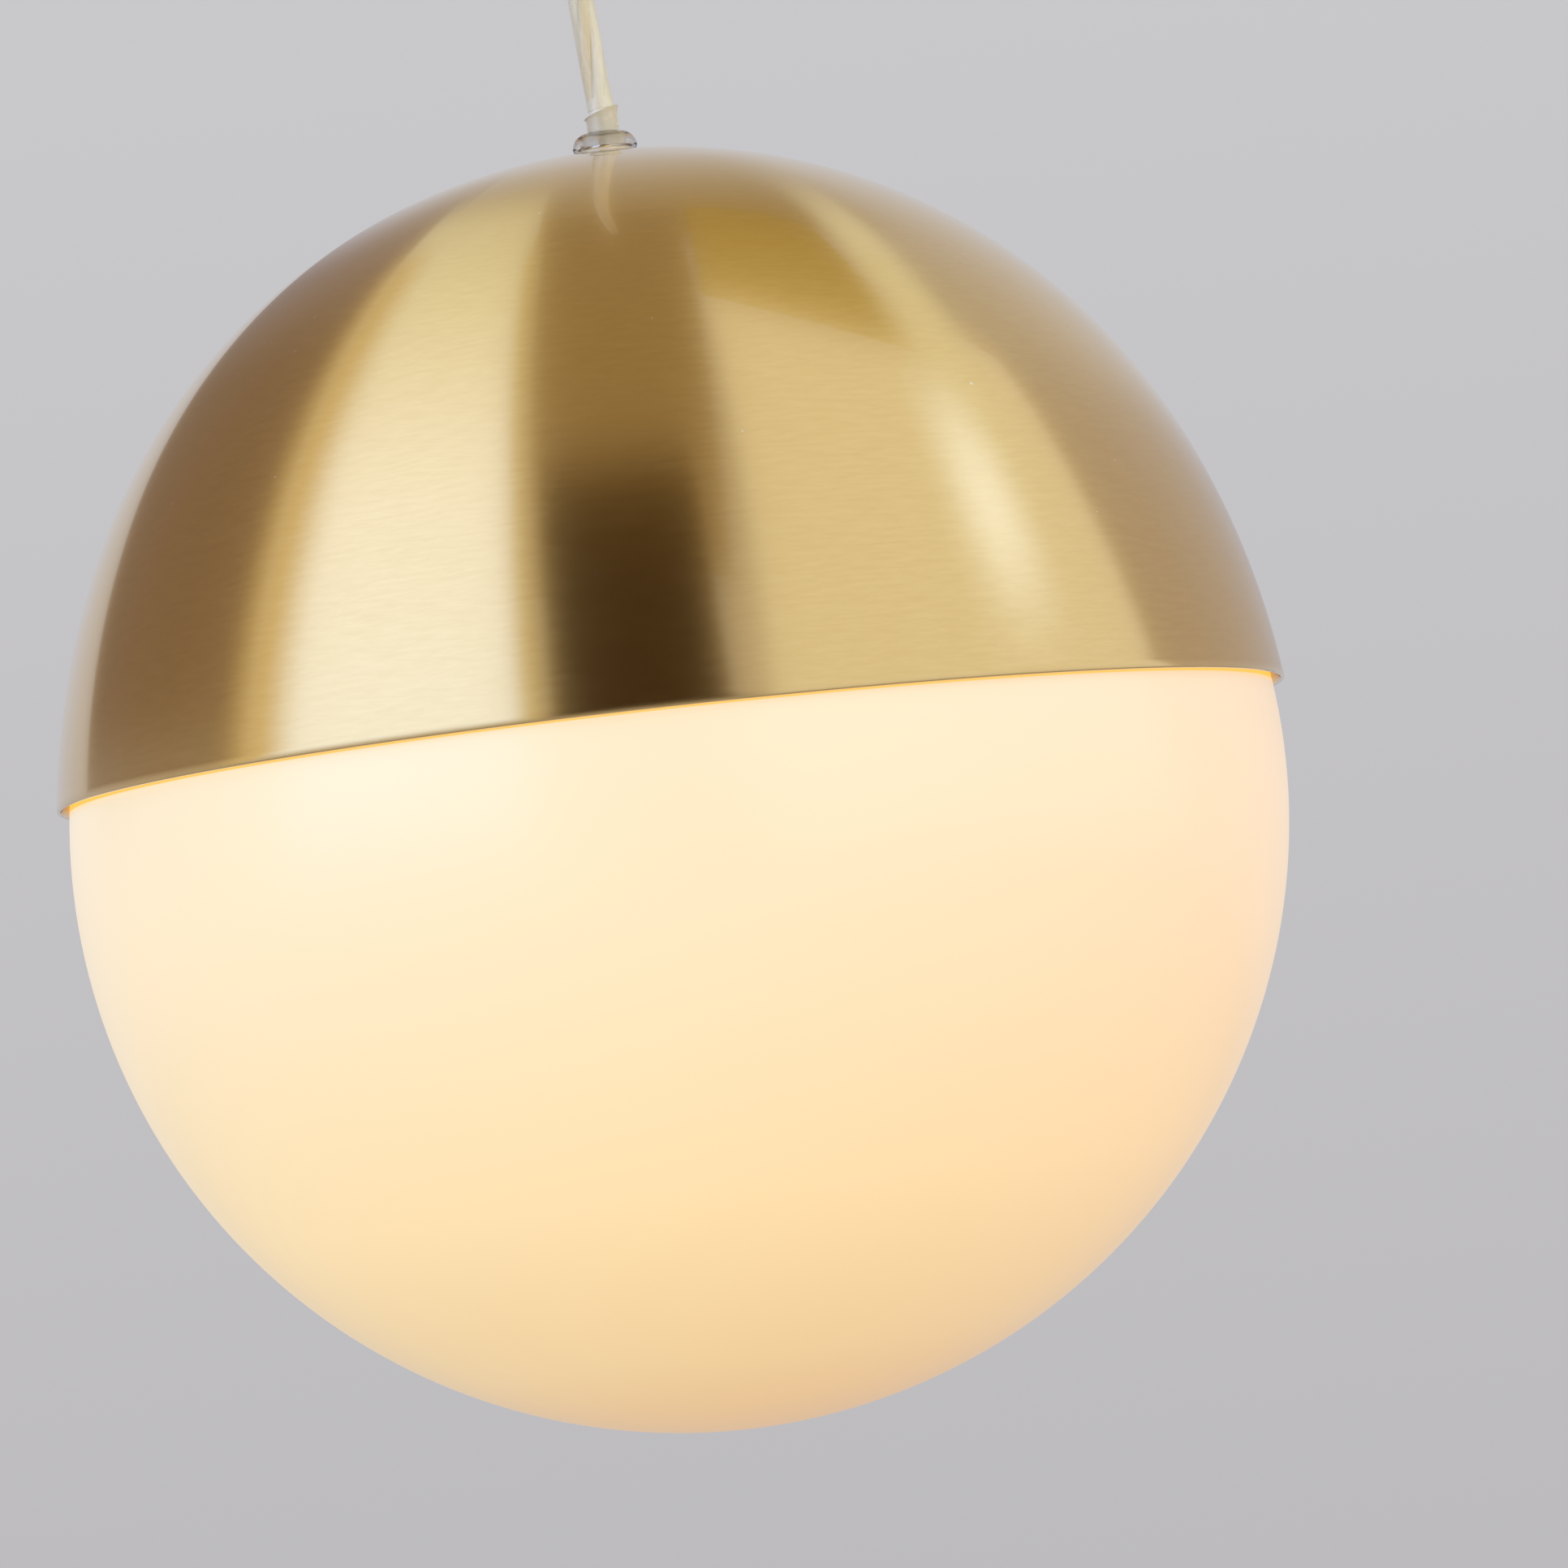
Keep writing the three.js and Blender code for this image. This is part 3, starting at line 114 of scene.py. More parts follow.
# %% [markdown]
# ## The cable
# The light hangs on round flex: three cores, each a bundle of fine wires in its own insulation,
# twisted together inside a clear sheath. It is held at both ends and pulled nearly straight, but it
# keeps a little of the curve that it was coiled in. The same route carries the sheath and, wound
# round it in a slow helix, the three cores. A curve object with a bevel would do for the sheath, but
# one path and one section swept along it suit sheath and cores alike, and give plain meshes.

# %% A smooth path, and a tube swept along it
CABLE_ROUTE = [
    (0, 0, -228.4),
    (-1.0, 0, -214.5),
    (-1.9, 0, -200.5),
    (-2.7, 0, -186.5),
    (-3.4, 0, -172.5),
    (-3.9, 0, -158.5),
    (-4.2, 0, -145),
    (-4.3, 0, -131.5),
    (-4.2, 0, -118),
    (-3.9, 0, -104.5),
    (-3.3, 0, -91),
    (-2.6, 0, -77.5),
    (-1.7, 0, -64),
    (-0.8, 0, -50.5),
    (0, 0, -36.5),
]
CABLE_DIAMETER = 6.5 * MM


def smooth_path(points, between):
    """Points on a smooth curve through the given ones, with some more between each two."""
    path = []
    last = len(points) - 1
    for i in range(last):
        before = points[max(i - 1, 0)]
        start = points[i]
        end = points[i + 1]
        after = points[min(i + 2, last)]
        for step in range(between):
            t = step / between
            path.append(
                0.5
                * (
                    2 * start
                    + (end - before) * t
                    + (2 * before - 5 * start + 4 * end - after) * t**2
                    + (3 * start - before - 3 * end + after) * t**3
                )
            )
    path.append(points[last].copy())
    return path


def frames_along(path):
    """At each point of a path, two unit directions across it that turn as little as they can."""
    across = Vector((1, 0, 0))
    frames = []
    for i, point in enumerate(path):
        ahead = path[min(i + 1, len(path) - 1)] - path[max(i - 1, 0)]
        ahead.normalize()
        across = (across - ahead * across.dot(ahead)).normalized()
        frames.append((across.copy(), ahead.cross(across)))
    return frames


def new_piece(name, shape, sharp_degrees=40):
    """A smooth-shaded object from a bmesh, with its sharp edges kept sharp."""
    bmesh.ops.recalc_face_normals(shape, faces=shape.faces)
    mesh = bpy.data.meshes.new(name)
    shape.to_mesh(mesh)
    shape.free()
    mesh.shade_smooth()
    mesh.set_sharp_from_angle(angle=math.radians(sharp_degrees))
    piece = bpy.data.objects.new(name, mesh)
    bpy.context.collection.objects.link(piece)
    return piece


def swept_tube(name, path, radius, sides):
    """A closed round tube along a path."""
    shape = bmesh.new()
    rings = []
    for point, (across, beside) in zip(path, frames_along(path)):
        ring = []
        for side in range(sides):
            angle = math.tau * side / sides
            reach = across * math.cos(angle) + beside * math.sin(angle)
            ring.append(shape.verts.new(point + reach * radius))
        rings.append(ring)
    for low, high in zip(rings, rings[1:]):
        for side in range(sides):
            after = (side + 1) % sides
            shape.faces.new((low[side], low[after], high[after], high[side]))
    shape.faces.new(rings[0])
    shape.faces.new(rings[-1])
    return new_piece(name, shape)


# %% The sheath
SHEATH_SIDES = 40
POINTS_BETWEEN = 6
cable_path = smooth_path([Vector(point) * MM for point in CABLE_ROUTE], POINTS_BETWEEN)
cable_sheath = swept_tube("cable_sheath", cable_path, CABLE_DIAMETER / 2, SHEATH_SIDES)

# %% The twisted cores
CORE_RADIUS = 1.45 * MM
CORE_CIRCLE = 1.68 * MM
CORE_LAY = 62 * MM
CORE_SIDES = 20
FIRST_CORE_ANGLE = 25
CORE_NAMES = ("live", "neutral", "earth")


def twisted_path(path, circle, lay, start_angle):
    """A helix round a path, one turn in each lay length."""
    twisted = []
    run = 0
    for i, (point, (across, beside)) in enumerate(zip(path, frames_along(path))):
        if i > 0:
            run += (point - path[i - 1]).length
        angle = start_angle + math.tau * run / lay
        twisted.append(point + (across * math.cos(angle) + beside * math.sin(angle)) * circle)
    return twisted


cable_cores = []
for i, core_name in enumerate(CORE_NAMES):
    start_angle = math.radians(FIRST_CORE_ANGLE + 120 * i)
    core_path = twisted_path(cable_path[1:-1], CORE_CIRCLE, CORE_LAY, start_angle)
    core = swept_tube(f"cable_core_{core_name}", core_path, CORE_RADIUS, CORE_SIDES)
    cable_cores.append(core)
print("cores:", [core.name for core in cable_cores])

# %% [markdown]
# ## The cable's pieces
# The sheath and the cores ride on the cable's body, in place of the frame's own cable. The mirror in
# the dome shows the clear sheath only: the cores would show there as a solid golden streak, which is
# a choice for the look and no law of optics.

for piece in [cable_sheath, *cable_cores]:
    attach(piece, "cable")
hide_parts("pendant_cable")
for core in cable_cores:
    core.visible_glossy = False
print("cord of", len(cable_path), "points with", len(cable_cores), "cores")

# %% [markdown]
# ## Bends at the cable's two ends
# The cable swings against the ceiling grip and the shade tilts against the cable. Two stiff tubes
# would gape or cut into each other there, so a short soft rod with a slight turn is set inside each
# end. Each bend's route and the heights where it starts and ends its turn are in millimetres, as the
# cable's route is.

# %% Bends
BEND_RADIUS = 3.1 * MM
BEND_SIDES = 32
BEND_PLAN = {
    "cable_bend_low": {
        "route": [(0, 0, -233), (0, 0, -230.5), (0, 0, -228.4), (-0.2, 0, -225.6)],
        "bodies": ("shade", "cable"),
        "turn": (-230.4, -227.2),
    },
    "cable_bend_top": {
        "route": [(-0.25, 0, -40), (0, 0, -36.5), (0, 0, -34.8), (0, 0, -33)],
        "bodies": ("cable", "ceiling_fitting"),
        "turn": (-38.2, -34.6),
    },
}
cable_bends = []
for name, plan in BEND_PLAN.items():
    path = smooth_path([Vector(point) * MM for point in plan["route"]], 8)
    bend = swept_tube(name, path, BEND_RADIUS, BEND_SIDES)
    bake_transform(bend)
    bend.visible_glossy = False
    cable_bends.append(bend)
print("bends:", [bend.name for bend in cable_bends])

# %% [markdown]
# ## Turned shapes
# The dome is spun over a former, the globe is blown and turned, and nuts, washers and sleeve are
# round too. Each is an outline turned about the light's axis. Real edges are never razor sharp, so
# each corner of an outline can be given a small rounding: that thin rounded edge catches the light
# and is much of what makes metal and glass look solid. Blender's bevel would round them too, but an
# outline shows in plain numbers what is turned.

# %% Outlines and turning
MERGE_DISTANCE = 1e-7
SLIVER = 1e-8


def rounded(corners, steps=4):
    """A closed outline from (radius, height, rounding) corners, each turned into a small curve."""
    outline = []
    for i, (radius, height, rounding) in enumerate(corners):
        corner = Vector((radius, height))
        if rounding == 0:
            outline.append(corner)
            continue
        before = Vector(corners[i - 1][:2])
        after = Vector(corners[(i + 1) % len(corners)][:2])
        start = corner + (before - corner).normalized() * rounding
        end = corner + (after - corner).normalized() * rounding
        for step in range(steps + 1):
            t = step / steps
            outline.append(start * (1 - t) ** 2 + corner * 2 * t * (1 - t) + end * t**2)
    return outline


def arc(centre, radius, start, end, steps):
    """Outline points on a circle about (radius, height); angles in degrees from level, up positive."""
    points = []
    for step in range(steps + 1):
        angle = math.radians(start + (end - start) * step / steps)
        across = centre[0] + radius * math.cos(angle)
        points.append(Vector((max(across, 0), centre[1] + radius * math.sin(angle))))
    return points


def turned(name, outline, facets, sharp_degrees=40):
    """A piece turned about Z. An outline that starts on the axis ends on it too."""
    shape = bmesh.new()
    profile = [shape.verts.new((point[0], 0, point[1])) for point in outline]
    pairs = list(zip(profile, profile[1:]))
    if outline[0][0] > MERGE_DISTANCE:
        pairs.append((profile[-1], profile[0]))
    edges = [shape.edges.new(pair) for pair in pairs]
    bmesh.ops.spin(
        shape,
        geom=profile + edges,
        axis=(0, 0, 1),
        cent=(0, 0, 0),
        angle=math.tau,
        steps=facets,
    )
    bmesh.ops.remove_doubles(shape, verts=shape.verts, dist=MERGE_DISTANCE)
    bmesh.ops.dissolve_degenerate(shape, edges=shape.edges, dist=SLIVER)
    return new_piece(name, shape, sharp_degrees)


# %% [markdown]
# ## The brass dome
# A flat disc of brass is spun over a round wooden former: that gives a half ball whose lower edge
# flares out a little. The wall is 1 mm thick, and the rim shows as a thin line. One outline, down
# the outside and back up the inside, makes the whole shell, and its many facets keep the curve
# smooth in the lacquer's reflections. Half a sphere primitive would have no wall, rim or flare.

# %% The dome's line
SKIRT_FLARE = 3.5 * MM
CROWN_ANGLE = 64
DOME_WALL = 1.0 * MM
CROWN_FLAT = 12 * MM
CROWN_HOLE = 5.3 * MM
crown_radius = rim_radius - SKIRT_FLARE


def dome_line(inset, steps):
    """The dome's section from its hole to its rim, inset from the outside by a wall thickness."""
    crown = crown_radius - inset
    flat_height = math.sqrt(crown_radius**2 - CROWN_FLAT**2) - inset
    turn = math.radians(CROWN_ANGLE)
    join = Vector((crown * math.sin(turn), crown * math.cos(turn)))
    rim = Vector((rim_radius - inset, 0))
    chord = rim - join
    bend = 2 * (math.pi / 2 - turn - math.atan2(chord.x, -chord.y))
    skirt_radius = chord.length / (2 * math.sin(bend / 2))
    start = math.pi / 2 - turn
    centre = join - Vector((math.cos(start), math.sin(start))) * skirt_radius
    line = [Vector((CROWN_HOLE, flat_height)), Vector((CROWN_FLAT * 0.9, flat_height))]
    first = math.pi / 2 - math.asin(CROWN_FLAT / crown)
    for step in range(1, steps + 1):
        angle = first + (start - first) * step / steps
        line.append(Vector((math.cos(angle), math.sin(angle))) * crown)
    for step in range(1, steps // 2 + 1):
        angle = start - bend * 2 * step / steps
        line.append(centre + Vector((math.cos(angle), math.sin(angle))) * skirt_radius)
    return [point + Vector((0, rim_height)) for point in line]


# %% Dome shell
DOME_STEPS = 60
DOME_FACETS = 256
RIM_EDGE = 0.45 * MM
outer_line = dome_line(0, DOME_STEPS)
inner_line = dome_line(DOME_WALL, DOME_STEPS)
rim_outside = outer_line.pop()
rim_inside = inner_line.pop()
rim_edge = [
    rim_outside + Vector((0, RIM_EDGE)),
    rim_outside + Vector((-RIM_EDGE * 0.3, RIM_EDGE * 0.3)),
    rim_outside + Vector((-RIM_EDGE, 0)),
    rim_inside + Vector((RIM_EDGE, 0)),
    rim_inside + Vector((RIM_EDGE * 0.3, RIM_EDGE * 0.3)),
    rim_inside + Vector((0, RIM_EDGE)),
]
dome_outline = [*outer_line, *rim_edge, *reversed(inner_line)]
dome_shell = turned("dome_shell", dome_outline, DOME_FACETS)
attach(dome_shell, "shade")
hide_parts("brass_dome")
print("dome rim", round(2 * rim_radius, 4), "m across")

# %% [markdown]
# ## The opal globe
# The globe is blown in a mould: a white opal layer in clear glass, with a round-crested screw
# thread on its neck that turns in a gallery inside the dome. A sphere primitive would have no wall,
# no neck and no thread, so an outline of outer and inner wall is turned, and the neck's thread is
# pressed in by moving its points outwards in a helix.

# %% Globe measures
GLOBE_WALL = 2.6 * MM
RIM_GAP = 2.1 * MM
NECK_RADIUS = 42 * MM
NECK_WALL = 3.0 * MM
NECK_HEIGHT = 10.3 * MM

globe_low, globe_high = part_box("opal_globe")
globe_depth = rim_height - globe_low.z
glass_at_rim = rim_radius - DOME_WALL - RIM_GAP
centre_drop = (globe_depth**2 - glass_at_rim**2) / (2 * globe_depth)
globe_radius = globe_depth - centre_drop
globe_centre = rim_height - centre_drop
lip_height = globe_high.z
neck_foot = lip_height - NECK_HEIGHT
inside_radius = globe_radius - GLOBE_WALL
neck_bore = NECK_RADIUS - NECK_WALL
outer_start = math.degrees(math.acos(NECK_RADIUS / globe_radius))
inner_start = math.degrees(math.acos(neck_bore / inside_radius))
print("globe", round(2 * globe_radius, 4), "m across")

# %% Globe outline
NECK_STEPS = 40
LIP_ROUNDING = 0.8 * MM
GLOBE_FACETS = 256
neck_wall = [
    Vector((NECK_RADIUS, neck_foot + NECK_HEIGHT * step / NECK_STEPS))
    for step in range(1, NECK_STEPS)
]
lip = rounded(
    [
        (NECK_RADIUS, neck_foot, 0),
        (NECK_RADIUS, lip_height, LIP_ROUNDING),
        (neck_bore, lip_height, LIP_ROUNDING),
        (neck_bore, neck_foot, 0),
    ]
)[1:-1]
globe_outline = [
    *arc((0, globe_centre), globe_radius, -90, outer_start, 110),
    *neck_wall[:-3],
    *lip,
    *arc((0, globe_centre), inside_radius, inner_start, -90, 90),
]
globe_glass = turned("globe_glass", globe_outline, GLOBE_FACETS)
print("globe points:", len(globe_glass.data.vertices))


# %% Thread on the neck
THREAD_PITCH = 6 * MM
THREAD_DEPTH = 1.3 * MM
THREAD_MARGIN = 0.5 * MM
THREAD_FADE = 1.5 * MM


def press_thread(mesh, radius, pitch, depth, low, high, fade):
    """Pushes the points of a wall outwards in a right-hand helix, fading out at both ends."""
    for vertex in mesh.vertices:
        x, y, z = vertex.co
        reach = math.hypot(x, y)
        if abs(reach - radius) > 0.01 * MM or not low < z < high:
            continue
        run = min(1, (z - low) / fade, (high - z) / fade)
        wave = 0.5 + 0.5 * math.cos(math.tau * (z - rim_height) / pitch - math.atan2(y, x))
        scale = 1 + depth * run * wave / reach
        vertex.co = (x * scale, y * scale, z)


press_thread(
    globe_glass.data,
    NECK_RADIUS,
    THREAD_PITCH,
    THREAD_DEPTH,
    neck_foot + THREAD_MARGIN,
    lip_height - THREAD_MARGIN,
    THREAD_FADE,
)
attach(globe_glass, "globe")
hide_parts("opal_globe")
print("thread pitch", THREAD_PITCH, "m, depth", THREAD_DEPTH, "m")

# %% [markdown]
# ## Where the cable enters
# On top of the dome a low round nut holds the threaded tube. Over it sits a clear plastic washer
# shaped like a small lens, and a clear sleeve guards the cable where it leaves. The sleeve was cut
# by hand, so its end is slanted and spread a little. A thin milky liner caps the tube's raw end
# inside the washer. All are turned, and the sleeve's end is then tilted point by point, as the cut
# went: a boolean could slice it, but tilted points keep the mesh even.

# %% Crown nut
nut_low, nut_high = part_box("crown_nut")
crown_nut_ring = turned(
    "crown_nut_ring",
    rounded(
        [
            (CROWN_HOLE, nut_low.z, 0),
            (nut_high.x, nut_low.z, 0.2 * MM),
            (nut_high.x, nut_high.z, 0.5 * MM),
            (CROWN_HOLE, nut_high.z, 0.3 * MM),
        ]
    ),
    64,
)
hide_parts("crown_nut")
print("crown nut", round(2 * nut_high.x, 4), "m across")

# %% Lens washer
SLEEVE_BORE = 3.5 * MM
SLEEVE_WALL = 0.4 * MM
SLEEVE_CLEARANCE = 0.3 * MM
WASHER_ROOF = 1.7 * MM
WASHER_EDGE = 0.3 * MM
sleeve_outer = SLEEVE_BORE + SLEEVE_WALL
washer_low, washer_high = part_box("top_washer")
washer_bore = sleeve_outer + SLEEVE_CLEARANCE
washer_recess = CROWN_HOLE + 0.1 * MM
washer_across = washer_high.x - washer_bore
washer_rise = washer_high.z - washer_low.z - WASHER_EDGE
washer_round = []
for step in range(25):
    angle = math.radians(90 * step / 24)
    washer_round.append(
        Vector(
            (
                washer_bore + washer_across * math.cos(angle),
                washer_low.z + WASHER_EDGE + washer_rise * math.sin(angle),
            )
        )
    )
lens_washer = turned(
    "lens_washer",
    [
        Vector((washer_recess, washer_low.z)),
        Vector((washer_high.x - 0.15 * MM, washer_low.z)),
        *washer_round,
        Vector((washer_bore, washer_high.z - WASHER_ROOF)),
        Vector((washer_recess, washer_high.z - WASHER_ROOF)),
    ],
    96,
)
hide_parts("top_washer")
print("washer", round(2 * washer_high.x, 4), "m across")

# %% Sleeve with its slanted end
SLEEVE_FLARE = 0.5 * MM
SLEEVE_SLANT = 1.3 * MM
SLANT_REACH = 3 * MM
FLARE_STEPS = [(2.5 * MM, 0), (1.2 * MM, 0.05 * MM), (0.4 * MM, 0.2 * MM), (0, SLEEVE_FLARE)]
sleeve_low, sleeve_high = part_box("cable_sleeve")
sleeve_top = sleeve_high.z - SLEEVE_SLANT * (1 + SLEEVE_FLARE / sleeve_outer)
sleeve_tube = turned(
    "sleeve_tube",
    [
        Vector((SLEEVE_BORE, sleeve_low.z)),
        Vector((sleeve_outer, sleeve_low.z)),
        *(Vector((sleeve_outer + out, sleeve_top - down)) for down, out in FLARE_STEPS),
        *(Vector((SLEEVE_BORE + out, sleeve_top - down)) for down, out in reversed(FLARE_STEPS)),
    ],
    96,
)
for vertex in sleeve_tube.data.vertices:
    near_top = max(0, 1 - (sleeve_top - vertex.co.z) / SLANT_REACH)
    vertex.co.z += near_top * SLEEVE_SLANT * vertex.co.x / sleeve_outer
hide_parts("cable_sleeve")
print("sleeve mouth at", round(sleeve_top, 4), "m")

# %% Liner over the tube's end
LINER_WALL = 0.2 * MM
tube_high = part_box("threaded_tube")[1]
liner_bore = tube_high.x + 0.04 * MM
liner_outer = liner_bore + LINER_WALL
liner_top = tube_high.z + 0.1 * MM + LINER_WALL
tube_liner = turned(
    "tube_liner",
    [
        Vector((liner_bore, washer_low.z + 0.1 * MM)),
        Vector((liner_outer, washer_low.z + 0.1 * MM)),
        Vector((liner_outer, liner_top - 0.05 * MM)),
        Vector((liner_outer - 0.05 * MM, liner_top)),
        Vector((sleeve_outer + 0.1 * MM, liner_top)),
        Vector((sleeve_outer + 0.1 * MM, liner_top - LINER_WALL)),
        Vector((liner_bore, liner_top - LINER_WALL)),
    ],
    64,
)
for piece in (crown_nut_ring, lens_washer, sleeve_tube, tube_liner):
    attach(piece, "shade")
print("liner top at", round(liner_top, 4), "m")

# %% [markdown]
# ## The ceiling canopy
# A shallow spun cup hides the strap, the terminal block and the joints in the ceiling. It wears the
# same brushed brass as the dome. A bevelled cylinder could pass for it, but an outline gives the
# wall its thickness and the corner one radius outside and a smaller one inside, as spinning does.

# %% Canopy
CANOPY_WALL = 1.0 * MM
CANOPY_CORNER = 7 * MM
CANOPY_EDGE = 0.2 * MM
GRIP_HOLE = 5.9 * MM
canopy_low, canopy_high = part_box("canopy")
canopy_radius = canopy_high.x
canopy_inside = canopy_radius - CANOPY_WALL


corner_centre = (canopy_radius - CANOPY_CORNER, canopy_low.z + CANOPY_CORNER)
canopy_cup = turned(
    "canopy_cup",
    [
        Vector((GRIP_HOLE, canopy_low.z)),
        *arc(corner_centre, CANOPY_CORNER, -90, 0, 24),
        Vector((canopy_radius, canopy_high.z - CANOPY_EDGE)),
        Vector((canopy_radius - CANOPY_EDGE, canopy_high.z)),
        Vector((canopy_inside + CANOPY_EDGE, canopy_high.z)),
        Vector((canopy_inside, canopy_high.z - CANOPY_EDGE)),
        *arc(corner_centre, CANOPY_CORNER - CANOPY_WALL, 0, -90, 16),
        Vector((GRIP_HOLE, canopy_low.z + CANOPY_WALL)),
    ],
    192,
)
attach(canopy_cup, "ceiling_fitting")
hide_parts("canopy")
print("canopy", round(2 * canopy_radius, 4), "m across")

# %% [markdown]
# ## Finishes
# Every finish is built from nodes. A helper starts a material with its Principled shader, and small
# helpers add the nodes that vary it. A value that is the same everywhere is set on the shader's own
# socket.

# %% Start a finish and add nodes to it
def new_finish(name, **settings):
    """A material with its Principled shader set from keyword values, and a place to add nodes."""
    finish = bpy.data.materials.new(name)
    finish.use_nodes = True
    shader = finish.node_tree.nodes["Principled BSDF"]
    for socket_name, value in settings.items():
        shader.inputs[socket_name.replace("_", " ")].default_value = value
    return finish, finish.node_tree, shader


def add_node(tree, kind, inputs=None, **properties):
    """A node of one kind. Each input is a value to set or another node's output to follow."""
    node = tree.nodes.new(kind)
    for key, value in properties.items():
        setattr(node, key, value)
    for key, value in (inputs or {}).items():
        if isinstance(value, bpy.types.NodeSocket):
            tree.links.new(value, node.inputs[key])
        else:
            node.inputs[key].default_value = value
    return node


def maths(tree, operation, *values):
    """The result of one sum on values and outputs."""
    node = add_node(tree, "ShaderNodeMath", dict(enumerate(values)), operation=operation)
    return node.outputs["Value"]


def mixed(tree, factor, first, second, blend_type="MIX"):
    """One colour laid over another."""
    inputs = {"Factor": factor, "A": first, "B": second}
    node = add_node(tree, "ShaderNodeMix", inputs, data_type="RGBA", blend_type=blend_type)
    return node.outputs["Result"]


# %% Places, noise, ramps and relief
def coordinates(tree, kind="Object"):
    """One kind of texture coordinates, such as the object's own."""
    return add_node(tree, "ShaderNodeTexCoord").outputs[kind]


def object_place(tree, scale=(1, 1, 1)):
    """The object's own coordinates, stretched by a scale."""
    inputs = {"Vector": coordinates(tree), "Scale": scale}
    return add_node(tree, "ShaderNodeMapping", inputs).outputs["Vector"]


def axes(tree, vector):
    """The X, Y and Z of a vector."""
    return add_node(tree, "ShaderNodeSeparateXYZ", {"Vector": vector}).outputs


def noise(tree, vector, scale, detail=3.0, roughness=0.5):
    """Procedural noise at a scale, in features per metre."""
    inputs = {"Vector": vector, "Scale": scale, "Detail": detail, "Roughness": roughness}
    return add_node(tree, "ShaderNodeTexNoise", inputs).outputs["Fac"]


def ramp(tree, factor, stops):
    """A colour ramp from (position, colour) stops."""
    node = add_node(tree, "ShaderNodeValToRGB", {"Fac": factor})
    node.color_ramp.elements[0].position = stops[0][0]
    node.color_ramp.elements[0].color = (*stops[0][1], 1)
    node.color_ramp.elements[1].position = stops[-1][0]
    node.color_ramp.elements[1].color = (*stops[-1][1], 1)
    for position, colour in stops[1:-1]:
        node.color_ramp.elements.new(position).color = (*colour, 1)
    return node.outputs["Color"]


def spread(tree, factor, low, high):
    """A 0 to 1 factor spread over the range from low to high."""
    inputs = {"Value": factor, "To Min": low, "To Max": high}
    return add_node(tree, "ShaderNodeMapRange", inputs).outputs["Result"]


def share(tree, value, low, high, **properties):
    """How far a value lies on its way from low to high, as a factor from 0 to 1."""
    inputs = {"Value": value, "From Min": low, "From Max": high}
    return add_node(tree, "ShaderNodeMapRange", inputs, **properties).outputs["Result"]


def bump(tree, shader, height, distance, strength=1.0):
    """Fine relief from a height."""
    inputs = {"Height": height, "Distance": distance, "Strength": strength}
    node = add_node(tree, "ShaderNodeBump", inputs)
    tree.links.new(node.outputs["Normal"], shader.inputs["Normal"])


def paint(piece, finish):
    """Gives a piece one finish in all its slots."""
    piece.data.materials.clear()
    piece.data.materials.append(finish)


# %% [markdown]
# ## Brushed and lacquered brass
# The dome turns on a lathe while a fine abrasive pad is held against it, which leaves hair-thin
# scratches round the axis. They blur reflections mostly across the scratches, so each bright or
# dark thing in the room becomes a band that runs from crown to rim. That is anisotropy, with a
# tangent that circles the axis. Clear lacquer over it adds a second, sharp and much weaker
# reflection, the shader's coat, and a few specks of dust lie on the lacquer.

# %% Coordinates for the scratches, and dust
SLOW_TURN = 0.02


def brushing_place(tree, place):
    """Coordinates that hardly change round the axis, so noise in them becomes scratches round it."""
    split = axes(tree, place)
    flat = add_node(tree, "ShaderNodeCombineXYZ", {"X": split["X"], "Y": split["Y"]})
    length = {0: flat.outputs["Vector"]}
    reach = add_node(tree, "ShaderNodeVectorMath", length, operation="LENGTH").outputs["Value"]
    turn = maths(tree, "ARCTAN2", split["Y"], split["X"])
    slow_turn = maths(tree, "MULTIPLY", turn, SLOW_TURN)
    brushing = {"X": reach, "Y": slow_turn, "Z": split["Z"]}
    return add_node(tree, "ShaderNodeCombineXYZ", brushing).outputs["Vector"]


def dust(tree, place, cells, size):
    """A mask of sparse specks: 1 inside a speck and 0 elsewhere."""
    points = add_node(tree, "ShaderNodeTexVoronoi", {"Vector": place, "Scale": cells})
    return maths(tree, "LESS_THAN", points.outputs["Distance"], size * cells)


# %% Scratches and lacquer
SCRATCHES_PER_METRE = 3200
STREAKS_PER_METRE = 900
DUST_COLOUR = (0.86, 0.80, 0.66, 1)
DUST_CELLS = 80
DUST_SIZE = 0.35 * MM
SCRATCH_DEPTH = 0.01 * MM


